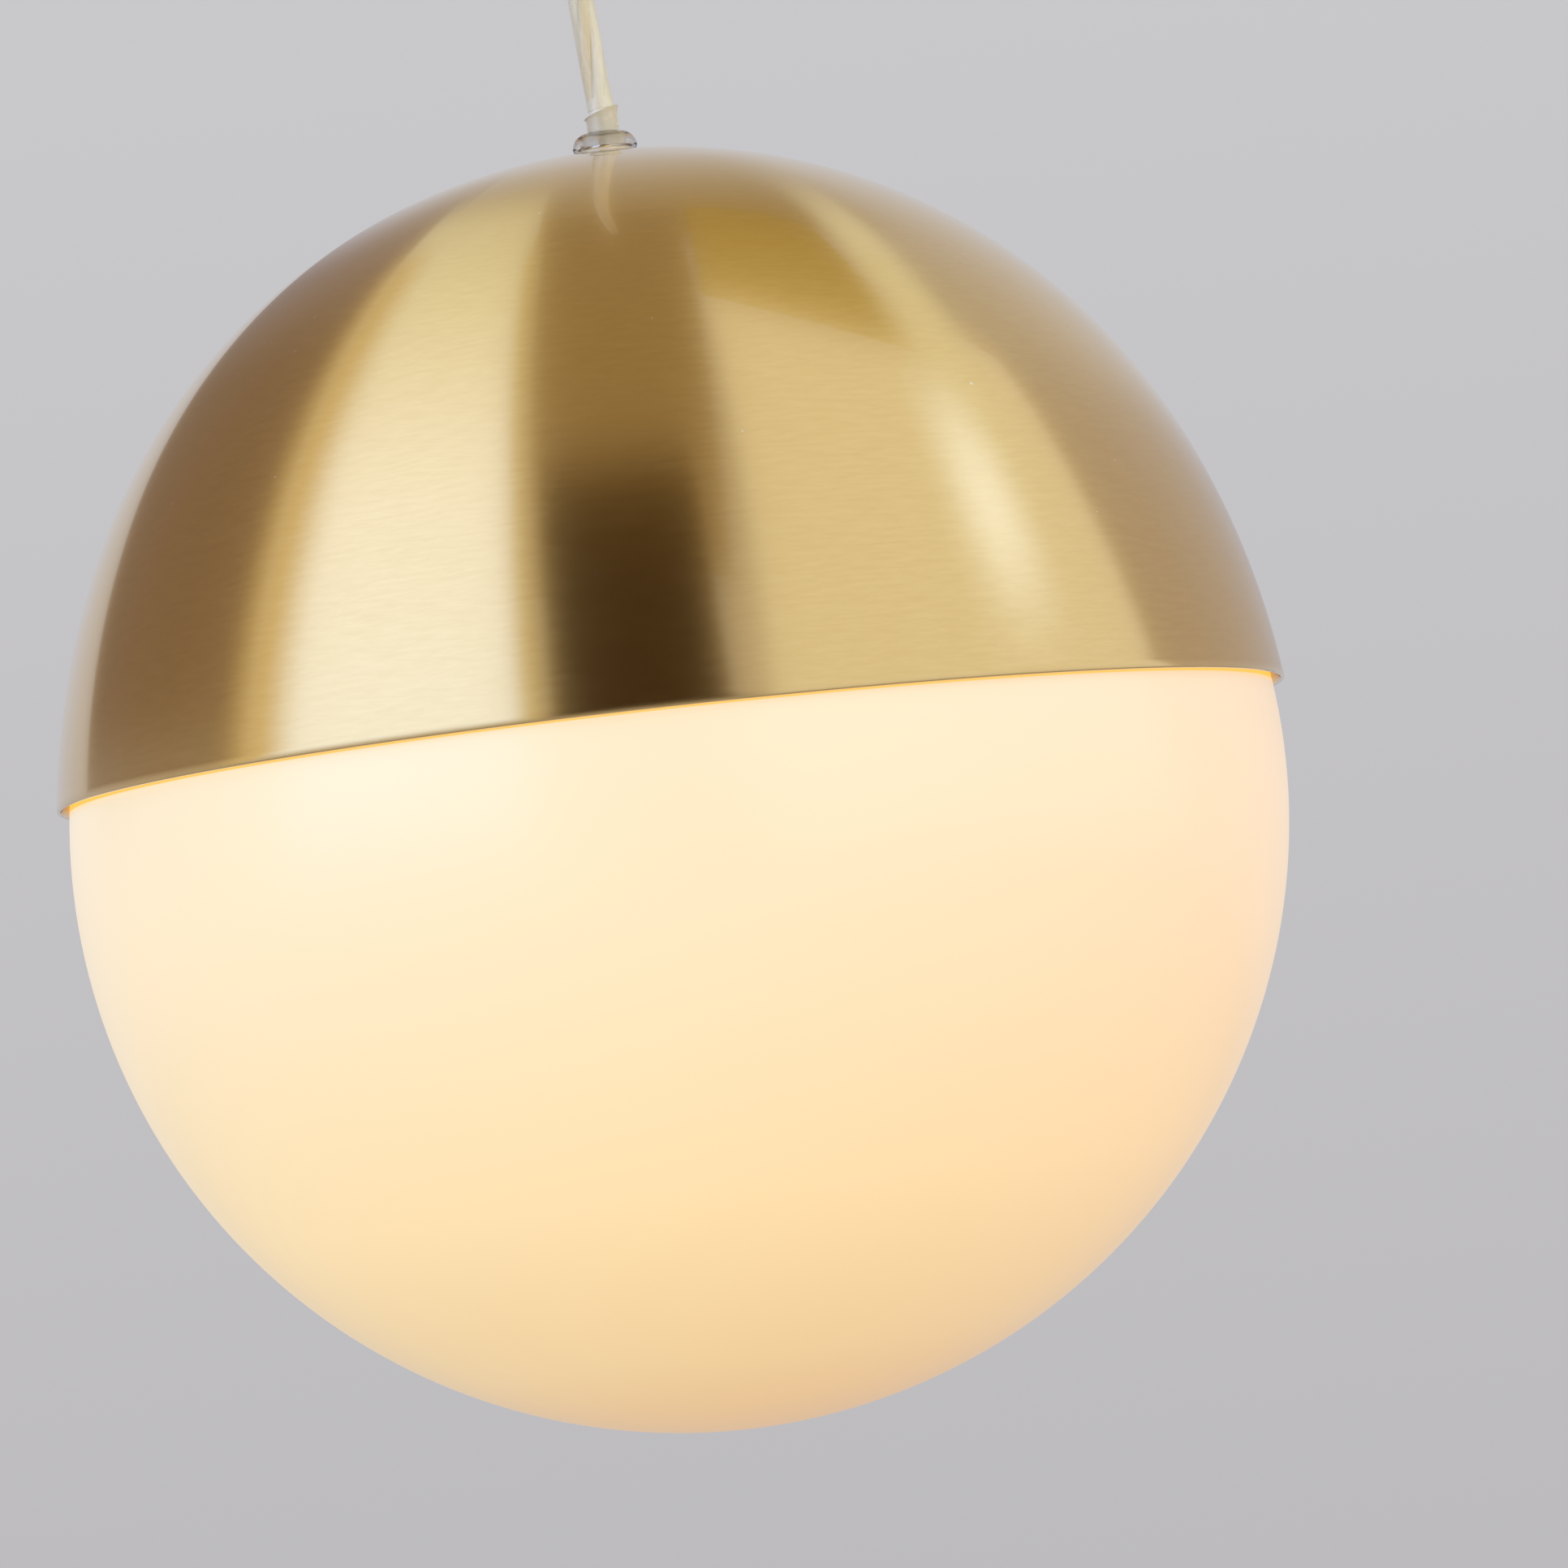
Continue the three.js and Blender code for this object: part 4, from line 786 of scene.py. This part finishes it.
def brushed_brass(name, base_colour, deep_colour):
    """Brass with fine scratches round Z under clear lacquer."""
    finish, tree, shader = new_finish(
        name,
        Metallic=1.0,
        Anisotropic=0.6,
        Anisotropic_Rotation=0.25,
        Coat_Weight=1.0,
        Coat_Roughness=0.02,
        Coat_IOR=1.5,
    )
    place = coordinates(tree)
    brushing = brushing_place(tree, place)
    scratches = noise(tree, brushing, SCRATCHES_PER_METRE, detail=4, roughness=0.7)
    streaks = noise(tree, brushing, STREAKS_PER_METRE, detail=3, roughness=0.6)
    haze = noise(tree, place, 14, detail=2)
    tone = maths(tree, "MULTIPLY_ADD", scratches, 0.5, streaks)
    colour = ramp(tree, tone, [(0.45, deep_colour), (1.0, base_colour)])
    dusty = mixed(tree, dust(tree, place, DUST_CELLS, DUST_SIZE), colour, DUST_COLOUR)
    tree.links.new(dusty, shader.inputs["Base Color"])
    rough = maths(tree, "MULTIPLY_ADD", haze, 0.35, streaks)
    tree.links.new(spread(tree, rough, 0.18, 0.22), shader.inputs["Roughness"])
    tangent = add_node(tree, "ShaderNodeTangent", direction_type="RADIAL", axis="Z")
    tree.links.new(tangent.outputs["Tangent"], shader.inputs["Tangent"])
    bump(tree, shader, scratches, SCRATCH_DEPTH, 0.06)
    return finish


# %% Dome and canopy in brass
BRIGHT_BRASS = (0.84, 0.58, 0.232)
DEEP_BRASS = (0.79, 0.53, 0.198)
dome_brass = brushed_brass("brushed_brass", BRIGHT_BRASS, DEEP_BRASS)
paint(dome_shell, dome_brass)
paint(canopy_cup, dome_brass)
print("dome and canopy finished in", dome_brass.name)

# %% [markdown]
# ## Lit opal glass
# Light from the bulb scatters so often in the white layer that the globe itself glows, evenly and
# without showing the bulb. Tracing that scatter would be slow and noisy. The glass gets a soft warm
# emission instead, a little whiter near the bulb and deeper towards the bottom, under a glossy
# clear layer that mirrors the studio faintly and dims the glow where the glass curves away. The glow
# is also painted a little warmer and darker towards the right, as painted shade on the side that gets
# less of the cool window light; the amount is matched. Close under the rim a golden edge is painted
# into the glow, for the light that the brass throws back on the glass.

# %% Opal glass
opal, tree, shader = new_finish(
    "lit_opal_glass",
    Base_Color=(0.20, 0.19, 0.17, 1),
    Roughness=0.3,
    IOR=1.5,
    Specular_IOR_Level=0.1,
    Coat_Weight=1.0,
    Coat_Roughness=0.26,
    Coat_IOR=1.5,
    Emission_Strength=1.0,
)
place = coordinates(tree)
split = axes(tree, place)
glow = ramp(
    tree,
    share(tree, split["Z"], globe_low.z, rim_height),
    [
        (0.0, (0.76, 0.44, 0.14)),
        (0.12, (0.82, 0.575, 0.25)),
        (0.35, (0.92, 0.69, 0.345)),
        (0.65, (0.93, 0.735, 0.44)),
        (1.0, (0.93, 0.77, 0.52)),
    ],
)
print("globe lit from", [round(value, 3) for value in globe_low], "upwards")

# %% Painted side shade and painted golden rim light
EDGE_GLOW = 0.35 * MM
EDGE_GOLD = (1.0, 0.58, 0.10, 1)

# Painted shade: the glow turns warmer and darker from the left of the globe to its right.
painted_side_shade = ramp(
    tree,
    share(tree, split["X"], -rim_radius, rim_radius),
    [(0.1, (1.0, 1.0, 1.0)), (0.45, (1.0, 0.965, 0.93)), (0.9, (1.0, 0.88, 0.84))],
)
glow_with_side_shade = mixed(tree, 1, glow, painted_side_shade, blend_type="MULTIPLY")
# Painted reflected light: a golden edge in the glow just under the rim, for light thrown back by the
# brass.
rim_light = share(tree, split["Z"], rim_height - EDGE_GLOW, rim_height - EDGE_GLOW / 3)
warmed = mixed(tree, rim_light, glow_with_side_shade, EDGE_GOLD)
tree.links.new(warmed, shader.inputs["Emission Color"])
ripple = noise(tree, place, 9, detail=1)
bump(tree, shader, ripple, 0.6 * MM, 0.2)
paint(globe_glass, opal)
print("golden edge", round(EDGE_GLOW, 5), "m deep")

# %% [markdown]
# ## Clear plastics
# The sheath and the sleeve are clear but soft plastic, pale and a little cloudy. Refraction through
# such thin walls is slow to trace and makes them dark, so they are see-through by alpha, and more
# solid towards their edges, as a thin wall looks. The lens washer is thick and clear: it really
# refracts, and its edges are painted dark in its colour, as painted shade for the dark room seen
# there.

# %% Helpers for clear and milky plastic
def cloudy_colour(tree, shader, scale, deep, pale):
    """A colour that drifts between two tones. Gives the noise back, for more to follow it."""
    cloud = noise(tree, object_place(tree), scale, detail=3)
    tree.links.new(ramp(tree, cloud, [(0.35, deep), (0.65, pale)]), shader.inputs["Base Color"])
    return cloud


def see_through(tree, shader, middle, edge):
    """Alpha from a middle value, where the surface faces the eye, to an edge value."""
    facing = add_node(tree, "ShaderNodeLayerWeight", {"Blend": 0.4})
    tree.links.new(spread(tree, facing.outputs["Facing"], middle, edge), shader.inputs["Alpha"])


# %% Sheath and cores
sheath, tree, shader = new_finish(
    "clear_sheath",
    Base_Color=(0.93, 0.86, 0.66, 1),
    Roughness=0.1,
    IOR=1.5,
    Specular_IOR_Level=1.0,
)
drawn = noise(tree, object_place(tree, (1, 1, 0.05)), 1200, detail=2)
bump(tree, shader, drawn, 0.03 * MM, 0.3)
see_through(tree, shader, 0.26, 0.82)
paint(cable_sheath, sheath)

CORE_TINTS = {
    "live": ((0.95, 0.89, 0.70), (0.90, 0.83, 0.60)),
    "neutral": ((0.88, 0.76, 0.47), (0.78, 0.64, 0.37)),
    "earth": ((0.96, 0.91, 0.77), (0.90, 0.84, 0.67)),
}
for piece, core_name in zip(cable_cores, CORE_NAMES):
    pale, deep = CORE_TINTS[core_name]
    core_finish, tree, shader = new_finish(f"core_{core_name}_clear", Roughness=0.35)
    strands = noise(tree, object_place(tree, (1, 1, 0.08)), 2200, detail=2)
    tree.links.new(ramp(tree, strands, [(0.35, deep), (0.6, pale)]), shader.inputs["Base Color"])
    bump(tree, shader, strands, 0.05 * MM, 0.4)
    paint(piece, core_finish)
for bend in cable_bends:
    paint(bend, core_finish)
print("cable finished:", cable_sheath.name, list(CORE_TINTS))

# %% Milky sleeve, crown nut and liner
milky, tree, shader = new_finish("milky_sleeve", Specular_IOR_Level=0.8, IOR=1.5)
cloud = cloudy_colour(tree, shader, 600, (0.85, 0.76, 0.55), (0.92, 0.83, 0.62))
tree.links.new(spread(tree, cloud, 0.16, 0.34), shader.inputs["Roughness"])
bump(tree, shader, cloud, 0.04 * MM, 0.4)
see_through(tree, shader, 0.62, 0.92)
paint(sleeve_tube, milky)

nut_finish, tree, shader = new_finish("milky_nut", Roughness=0.35)
cloudy_colour(tree, shader, 500, (0.76, 0.64, 0.44), (0.84, 0.73, 0.52))
paint(crown_nut_ring, nut_finish)

liner_finish, tree, shader = new_finish("milky_liner", Roughness=0.4)
cloudy_colour(tree, shader, 500, (0.90, 0.79, 0.57), (0.94, 0.85, 0.65))
paint(tube_liner, liner_finish)
print("milky pieces:", sleeve_tube.name, crown_nut_ring.name, tube_liner.name)

# %% Clear lens washer
lens, tree, shader = new_finish("clear_lens", IOR=1.46, Transmission_Weight=1.0)
polish = noise(tree, object_place(tree), 900, detail=2)
tree.links.new(spread(tree, polish, 0.01, 0.07), shader.inputs["Roughness"])
# Painted shade: the washer's colour darkens where its surface turns away, for the dark room seen
# through its edges.
facing = add_node(tree, "ShaderNodeLayerWeight", {"Blend": 0.3})
painted_edge_shade = ramp(
    tree,
    facing.outputs["Facing"],
    [(0.25, (0.97, 0.95, 0.92)), (0.8, (0.46, 0.40, 0.45))],
)
tree.links.new(painted_edge_shade, shader.inputs["Base Color"])
paint(lens_washer, lens)
print("clear piece:", lens_washer.name)

# %% [markdown]
# ## Finishes for the working parts
# Screws, nuts, gallery, lampholder and bulb keep their own shapes and get a finish by their
# material slot: plated steel with fine cloudy patches, machined brass, satin mouldings, glazed
# ceramic and the coloured insulation of the cores. Most differ only in colour, gloss and grain, so
# one helper makes the metals, another the mouldings, and a table gives each slot its finish.

# %% Metals and mouldings
def metal(name, pale, deep, roughness, scale=450):
    """Plated or machined metal with a slightly cloudy polish."""
    finish, tree, shader = new_finish(name, Metallic=1.0)
    cloud = noise(tree, object_place(tree), scale, detail=4)
    tree.links.new(ramp(tree, cloud, [(0.35, deep), (0.65, pale)]), shader.inputs["Base Color"])
    rough = spread(tree, cloud, roughness - 0.08, roughness + 0.1)
    tree.links.new(rough, shader.inputs["Roughness"])
    bump(tree, shader, cloud, 0.03 * MM, 0.3)
    return finish


def moulded(name, pale, deep, roughness, scale=900, **settings):
    """A moulding, with a fine grain from its tool."""
    finish, tree, shader = new_finish(name, **settings)
    grain = noise(tree, object_place(tree), scale, detail=3)
    tree.links.new(ramp(tree, grain, [(0.3, deep), (0.7, pale)]), shader.inputs["Base Color"])
    rough = spread(tree, grain, roughness - 0.06, roughness + 0.08)
    tree.links.new(rough, shader.inputs["Roughness"])
    bump(tree, shader, grain, 0.04 * MM, 0.3)
    return finish


# %% A finish for each slot
slot_finishes = {
    "brushed_brass": dome_brass,
    "plain_brass": metal("machined_brass", (0.83, 0.63, 0.30), (0.70, 0.50, 0.21), 0.28),
    "zinc_steel": metal("zinc_plated_steel", (0.72, 0.73, 0.75), (0.58, 0.59, 0.61), 0.38),
    "nickel": metal("nickel_plate", (0.82, 0.81, 0.78), (0.70, 0.69, 0.66), 0.22),
    "bulb_aluminium": metal("stamped_aluminium", (0.80, 0.81, 0.82), (0.68, 0.69, 0.7), 0.35),
    "clear_plastic": milky,
    "clear_flex": moulded(
        "flex_end", (0.86, 0.82, 0.70), (0.78, 0.73, 0.60), 0.25, Transmission_Weight=0.4
    ),
    "white_plastic": moulded("white_moulding", (0.90, 0.90, 0.87), (0.85, 0.85, 0.82), 0.42),
    "ceramic": moulded("glazed_ceramic", (0.92, 0.90, 0.85), (0.87, 0.85, 0.79), 0.2, Coat_Weight=0.6),
    "fibre": moulded("red_fibre", (0.50, 0.20, 0.11), (0.36, 0.13, 0.07), 0.75),
    "silicone": moulded("silicone", (0.86, 0.85, 0.81), (0.80, 0.79, 0.75), 0.6, Sheen_Weight=0.2),
    "black_glass": moulded("black_glass", (0.02, 0.02, 0.025), (0.01, 0.01, 0.012), 0.12),
    "frosted": moulded(
        "frosted_envelope",
        (0.95, 0.92, 0.85),
        (0.90, 0.86, 0.78),
        0.5,
        Emission_Color=(1.0, 0.83, 0.58, 1),
        Emission_Strength=2.0,
    ),
    "opal_glass": opal,
    "live_core": moulded("brown_insulation", (0.24, 0.11, 0.05), (0.18, 0.08, 0.04), 0.4),
    "neutral_core": moulded("blue_insulation", (0.05, 0.15, 0.45), (0.04, 0.11, 0.36), 0.4),
    "earth_core": moulded("green_insulation", (0.12, 0.36, 0.07), (0.42, 0.45, 0.05), 0.4, 60),
}
# %% Finish the working parts
for subpart in frame["record"]["subparts"]:
    paint(frame["nodes"][subpart["node"]], slot_finishes[subpart["material_slot"]])

# %% [markdown]
# ## The studio
# Polished metal shows its surroundings more than itself, so the room is part of the finish. The
# light hangs in a pale grey studio over a pale floor. What the dome mirrors is built as curved
# sheets two metres away: a tall daylight window on the left, a broad warm panel on the right, and
# the dark gap between them where the camera stands. They light and reflect, but the camera doesn't
# see them. An image of a room round the scene could do the same, but a few sheets show plainly which
# of them makes which band.

# %% Room and floor
world = bpy.data.worlds.new("studio")
bpy.context.scene.world = world
world.use_nodes = True
bpy.context.scene.view_settings.view_transform = "Standard"
tree = world.node_tree
sky_height = axes(tree, coordinates(tree, "Generated"))["Z"]
sky = ramp(
    tree,
    share(tree, sky_height, -0.2, 1.0),
    [
        (0.08, (0.495, 0.485, 0.505)),
        (0.31, (0.583, 0.575, 0.592)),
        (0.55, (0.583, 0.575, 0.592)),
        (0.85, (0.50, 0.49, 0.49)),
    ],
)
tree.links.new(sky, tree.nodes["Background"].inputs["Color"])

FLOOR_DROP = 3.0
FLOOR_RADIUS = 20
floor_shape = bmesh.new()
bmesh.ops.create_circle(floor_shape, cap_ends=True, segments=96, radius=FLOOR_RADIUS)
floor = new_piece("studio_floor", floor_shape)
floor.location.z = cad_box[0][2] - FLOOR_DROP
floor_finish, tree, shader = new_finish("floor_paint", Roughness=0.8)
grain = noise(tree, object_place(tree), 3, detail=5)
tree.links.new(
    ramp(tree, grain, [(0.3, (0.70, 0.695, 0.71)), (0.7, (0.74, 0.735, 0.75))]),
    shader.inputs["Base Color"],
)
paint(floor, floor_finish)
print("floor", round(floor.location.z, 3), "m")

# %% [markdown]
# ## Panels placed by their mirror image
# A band on a curved mirror is hard to aim by moving a lamp about. The other way round is easy:
# choose the stretch of the dome that should show a panel, send a ray from the camera to it, mirror
# the ray there, and build the panel where it lands. Places on the dome are given as degrees round
# it, to the right of its front, and degrees up from its rim: left and right at the panel's foot and
# top, foot and top at its left and right. Light is a list of heights and colours, and soft is the
# share of width and height over which the edges fade.

# %% Where the dome's mirror image lies
camera_place = camera.matrix_world.translation


def mirrored(across, up, distance):
    """The place in the room that the dome shows to the camera at one of its spots."""
    turn = math.radians(across)
    lift = math.radians(up)
    normal = Vector(
        (
            math.sin(turn) * math.cos(lift),
            -math.cos(turn) * math.cos(lift),
            math.sin(lift),
        )
    )
    spot = normal * crown_radius
    sight = (rim_centre + spot - camera_place).normalized()
    away = sight - normal * 2 * sight.dot(normal)
    along = spot.dot(away)
    run = math.sqrt(along**2 + distance**2 - spot.length_squared) - along
    return rim_centre + spot + away * run


print("straight in front the dome shows", [round(value, 2) for value in mirrored(0, 0, 2)])

# %% The shape of a panel
PANEL_STEPS = 24


def panel_shape(left, right, foot, top, distance):
    """The sheet that fills one four-sided stretch of the dome's mirror image."""
    shape = bmesh.new()
    uv_layer = shape.loops.layers.uv.new("UVMap")
    grid = []
    for row in range(PANEL_STEPS + 1):
        v = row / PANEL_STEPS
        line = []
        for column in range(PANEL_STEPS + 1):
            u = column / PANEL_STEPS
            start = left[0] + (left[1] - left[0]) * v
            end = right[0] + (right[1] - right[0]) * v
            low = foot[0] + (foot[1] - foot[0]) * u
            high = top[0] + (top[1] - top[0]) * u**2
            spot = mirrored(start + (end - start) * u, low + (high - low) * v, distance)
            line.append(shape.verts.new(spot))
        grid.append(line)
    for row in range(PANEL_STEPS):
        for column in range(PANEL_STEPS):
            corners = [(row, column), (row, column + 1), (row + 1, column + 1), (row + 1, column)]
            face = shape.faces.new([grid[r][c] for r, c in corners])
            for loop, (r, c) in zip(face.loops, corners):
                loop[uv_layer].uv = (c / PANEL_STEPS, r / PANEL_STEPS)
    return shape


# %% The light of a panel
def panel_light(name, light, soft):
    """Light that changes from the foot of a panel to its top and fades out at its edges."""
    finish = bpy.data.materials.new(name)
    finish.use_nodes = True
    tree = finish.node_tree
    tree.nodes.clear()
    split = axes(tree, coordinates(tree, "UV"))
    edges = []
    for axis, width in zip(("X", "Y"), soft):
        away = maths(tree, "ABSOLUTE", maths(tree, "SUBTRACT", split[axis], 0.5))
        edges.append(share(tree, away, 0.5, 0.5 - width, interpolation_type="SMOOTHSTEP"))
    fade = maths(tree, "MULTIPLY", *edges)
    strongest = max(max(colour) for height, colour in light)
    stops = [(height, [part / strongest for part in colour]) for height, colour in light]
    glowing = {"Color": ramp(tree, split["Y"], stops), "Strength": strongest}
    emission = add_node(tree, "ShaderNodeEmission", glowing).outputs["Emission"]
    clear = add_node(tree, "ShaderNodeBsdfTransparent").outputs["BSDF"]
    mix = add_node(tree, "ShaderNodeMixShader", {"Fac": fade, 1: clear, 2: emission})
    add_node(tree, "ShaderNodeOutputMaterial", {"Surface": mix.outputs["Shader"]})
    return finish


# %% The panels, from the farthest to the nearest
PANEL_PLAN = {
    "right_wall": {
        "left": (43, 38),
        "right": (87, 87),
        "foot": (-8, -8),
        "top": (38, 28),
        "light": [(0, (0.46, 0.41, 0.39)), (1, (0.50, 0.48, 0.50))],
        "soft": (0.15, 0.35),
    },
    "overhead": {
        "left": (-62, -45),
        "right": (52, 45),
        "foot": (46, 46),
        "top": (72, 72),
        "light": [(0.2, (0.34, 0.26, 0.13)), (0.5, (0.42, 0.37, 0.28)), (0.8, (0.52, 0.49, 0.46))],
        "soft": (0.25, 0.22),
    },
    "left_wall": {
        "left": (-66, -66),
        "right": (-37.5, -26),
        "foot": (-8, -8),
        "top": (72, 74),
        "light": [(0, (0.24, 0.18, 0.14)), (0.6, (0.24, 0.18, 0.14)), (0.9, (0.34, 0.30, 0.32))],
        "soft": (0.03, 0.25),
    },
    "tall_window": {
        "left": (-41.8, -31.3),
        "right": (-9.8, -9.8),
        "foot": (-8, -8),
        "top": (66, 66),
        "light": [
            (0.15, (1.15, 1.47, 2.46)),
            (0.42, (1.12, 1.36, 2.05)),
            (0.57, (1.0, 1.15, 1.45)),
            (0.71, (0.88, 0.98, 1.0)),
            (0.89, (0.70, 0.70, 0.55)),
            (1.0, (0.56, 0.52, 0.42)),
        ],
        "soft": (0.06, 0.14),
    },
    "frame_left": {
        "left": (-44.6, -35.6),
        "right": (-34.6, -24.6),
        "foot": (-8, -8),
        "top": (56, 56),
        "light": [(0, (0.74, 0.66, 0.40)), (1, (0.66, 0.58, 0.36))],
        "soft": (0.5, 0.1),
    },
    "frame_right": {
        "left": (-12.5, -12.5),
        "right": (-8.6, -8.6),
        "foot": (-8, -8),
        "top": (54, 54),
        "light": [(0, (0.66, 0.58, 0.26)), (1, (0.62, 0.56, 0.34))],
        "soft": (0.5, 0.1),
    },
    "brown_wall": {
        "left": (-9.9, -9.9),
        "right": (8.5, 11),
        "foot": (14, 14),
        "top": (55.5, 55),
        "light": [(0, (0.33, 0.26, 0.155)), (1, (0.33, 0.26, 0.155))],
        "soft": (0.06, 0.012),
    },
    "dark_gap": {
        "left": (-9.6, -9.2),
        "right": (7.6, 6.2),
        "foot": (-8, -8),
        "top": (26, 26),
        "light": [(0, (0.03, 0.012, 0.0)), (1, (0.06, 0.035, 0.01))],
        "soft": (0.07, 0.16),
    },
    "broad_panel": {
        "left": (8.5, 9.6),
        "right": (53.5, 44),
        "foot": (-8, -8),
        "top": (42, 31),
        "light": [(0, (0.86, 0.92, 0.99)), (1, (0.85, 0.88, 0.86))],
        "soft": (0.05, 0.015),
    },
    "gold_shelf": {
        "left": (9.5, 12),
        "right": (35, 30),
        "foot": (41, 31),
        "top": (55, 50),
        "light": [(0, (0.56, 0.49, 0.23)), (1, (0.40, 0.305, 0.09))],
        "soft": (0.05, 0.02),
    },
    "bright_post": {
        "left": (29, 30),
        "right": (43, 41),
        "foot": (14, 14),
        "top": (62, 62),
        "light": [(0, (0.88, 0.95, 0.96)), (1, (0.74, 0.76, 0.62))],
        "soft": (0.4, 0.3),
    },
    "lamp_spot": {
        "left": (29.5, 27.5),
        "right": (42, 37.5),
        "foot": (5, 5),
        "top": (32, 32),
        "light": [(0, (1.3, 1.65, 2.5)), (1, (1.15, 1.4, 2.0))],
        "soft": (0.5, 0.5),
    },
}
print("panels planned:", list(PANEL_PLAN))

# %% Build the panels
PANEL_DISTANCE = 2.2
PANEL_SPACING = 0.03
for i, (name, plan) in enumerate(PANEL_PLAN.items()):
    distance = PANEL_DISTANCE - PANEL_SPACING * i
    shape = panel_shape(plan["left"], plan["right"], plan["foot"], plan["top"], distance)
    mesh = bpy.data.meshes.new(name)
    shape.to_mesh(mesh)
    shape.free()
    sheet = bpy.data.objects.new(name, mesh)
    bpy.context.collection.objects.link(sheet)
    sheet.visible_camera = False
    sheet.visible_shadow = False
    paint(sheet, panel_light(name, plan["light"], plan["soft"]))
print("nearest panel", round(PANEL_DISTANCE - PANEL_SPACING * (len(PANEL_PLAN) - 1), 2), "m away")

# %% [markdown]
# ## Soft fill
# The cable, the sleeve and the other matt pieces need some light from the front that the polished
# brass shouldn't mirror. One more glowing panel would show as a band on the dome, while an area light
# can leave glossy reflections out.

# %% Fill light
FILL_DISTANCE = 2.4
FILL_WATTS = 17
FILL_SIZE = 1.2
FILL_BEARING = Vector((0.35, -0.85, 0.42)).normalized()
fill_data = bpy.data.lights.new("soft_fill", "AREA")
fill_data.energy = FILL_WATTS
fill_data.size = FILL_SIZE
fill_data.color = (1.0, 0.95, 0.86)
fill = bpy.data.objects.new("soft_fill", fill_data)
bpy.context.collection.objects.link(fill)
fill.location = rim_centre + FILL_BEARING * FILL_DISTANCE
fill.rotation_euler = FILL_BEARING.to_track_quat("Z", "Y").to_euler()
fill.visible_glossy = False
fill.visible_camera = False
print("fill light", FILL_WATTS, "W at", [round(value, 2) for value in fill.location])

# %% [markdown]
# ## A longer drop than the cable's
# On a real drop of a metre or more the ceiling fitting is too far off to show in the dome. This
# cable is short, so its fitting is kept out of glossy reflections.

# %% Keep the ceiling fitting out of the dome's mirror
fitting_nodes = frame["record"]["behaviour"]["bodies"]["ceiling_fitting"]
for piece in [canopy_cup, *(frame["nodes"][node] for node in fitting_nodes)]:
    piece.visible_glossy = False
print("pieces kept out of reflections:", 1 + len(fitting_nodes))
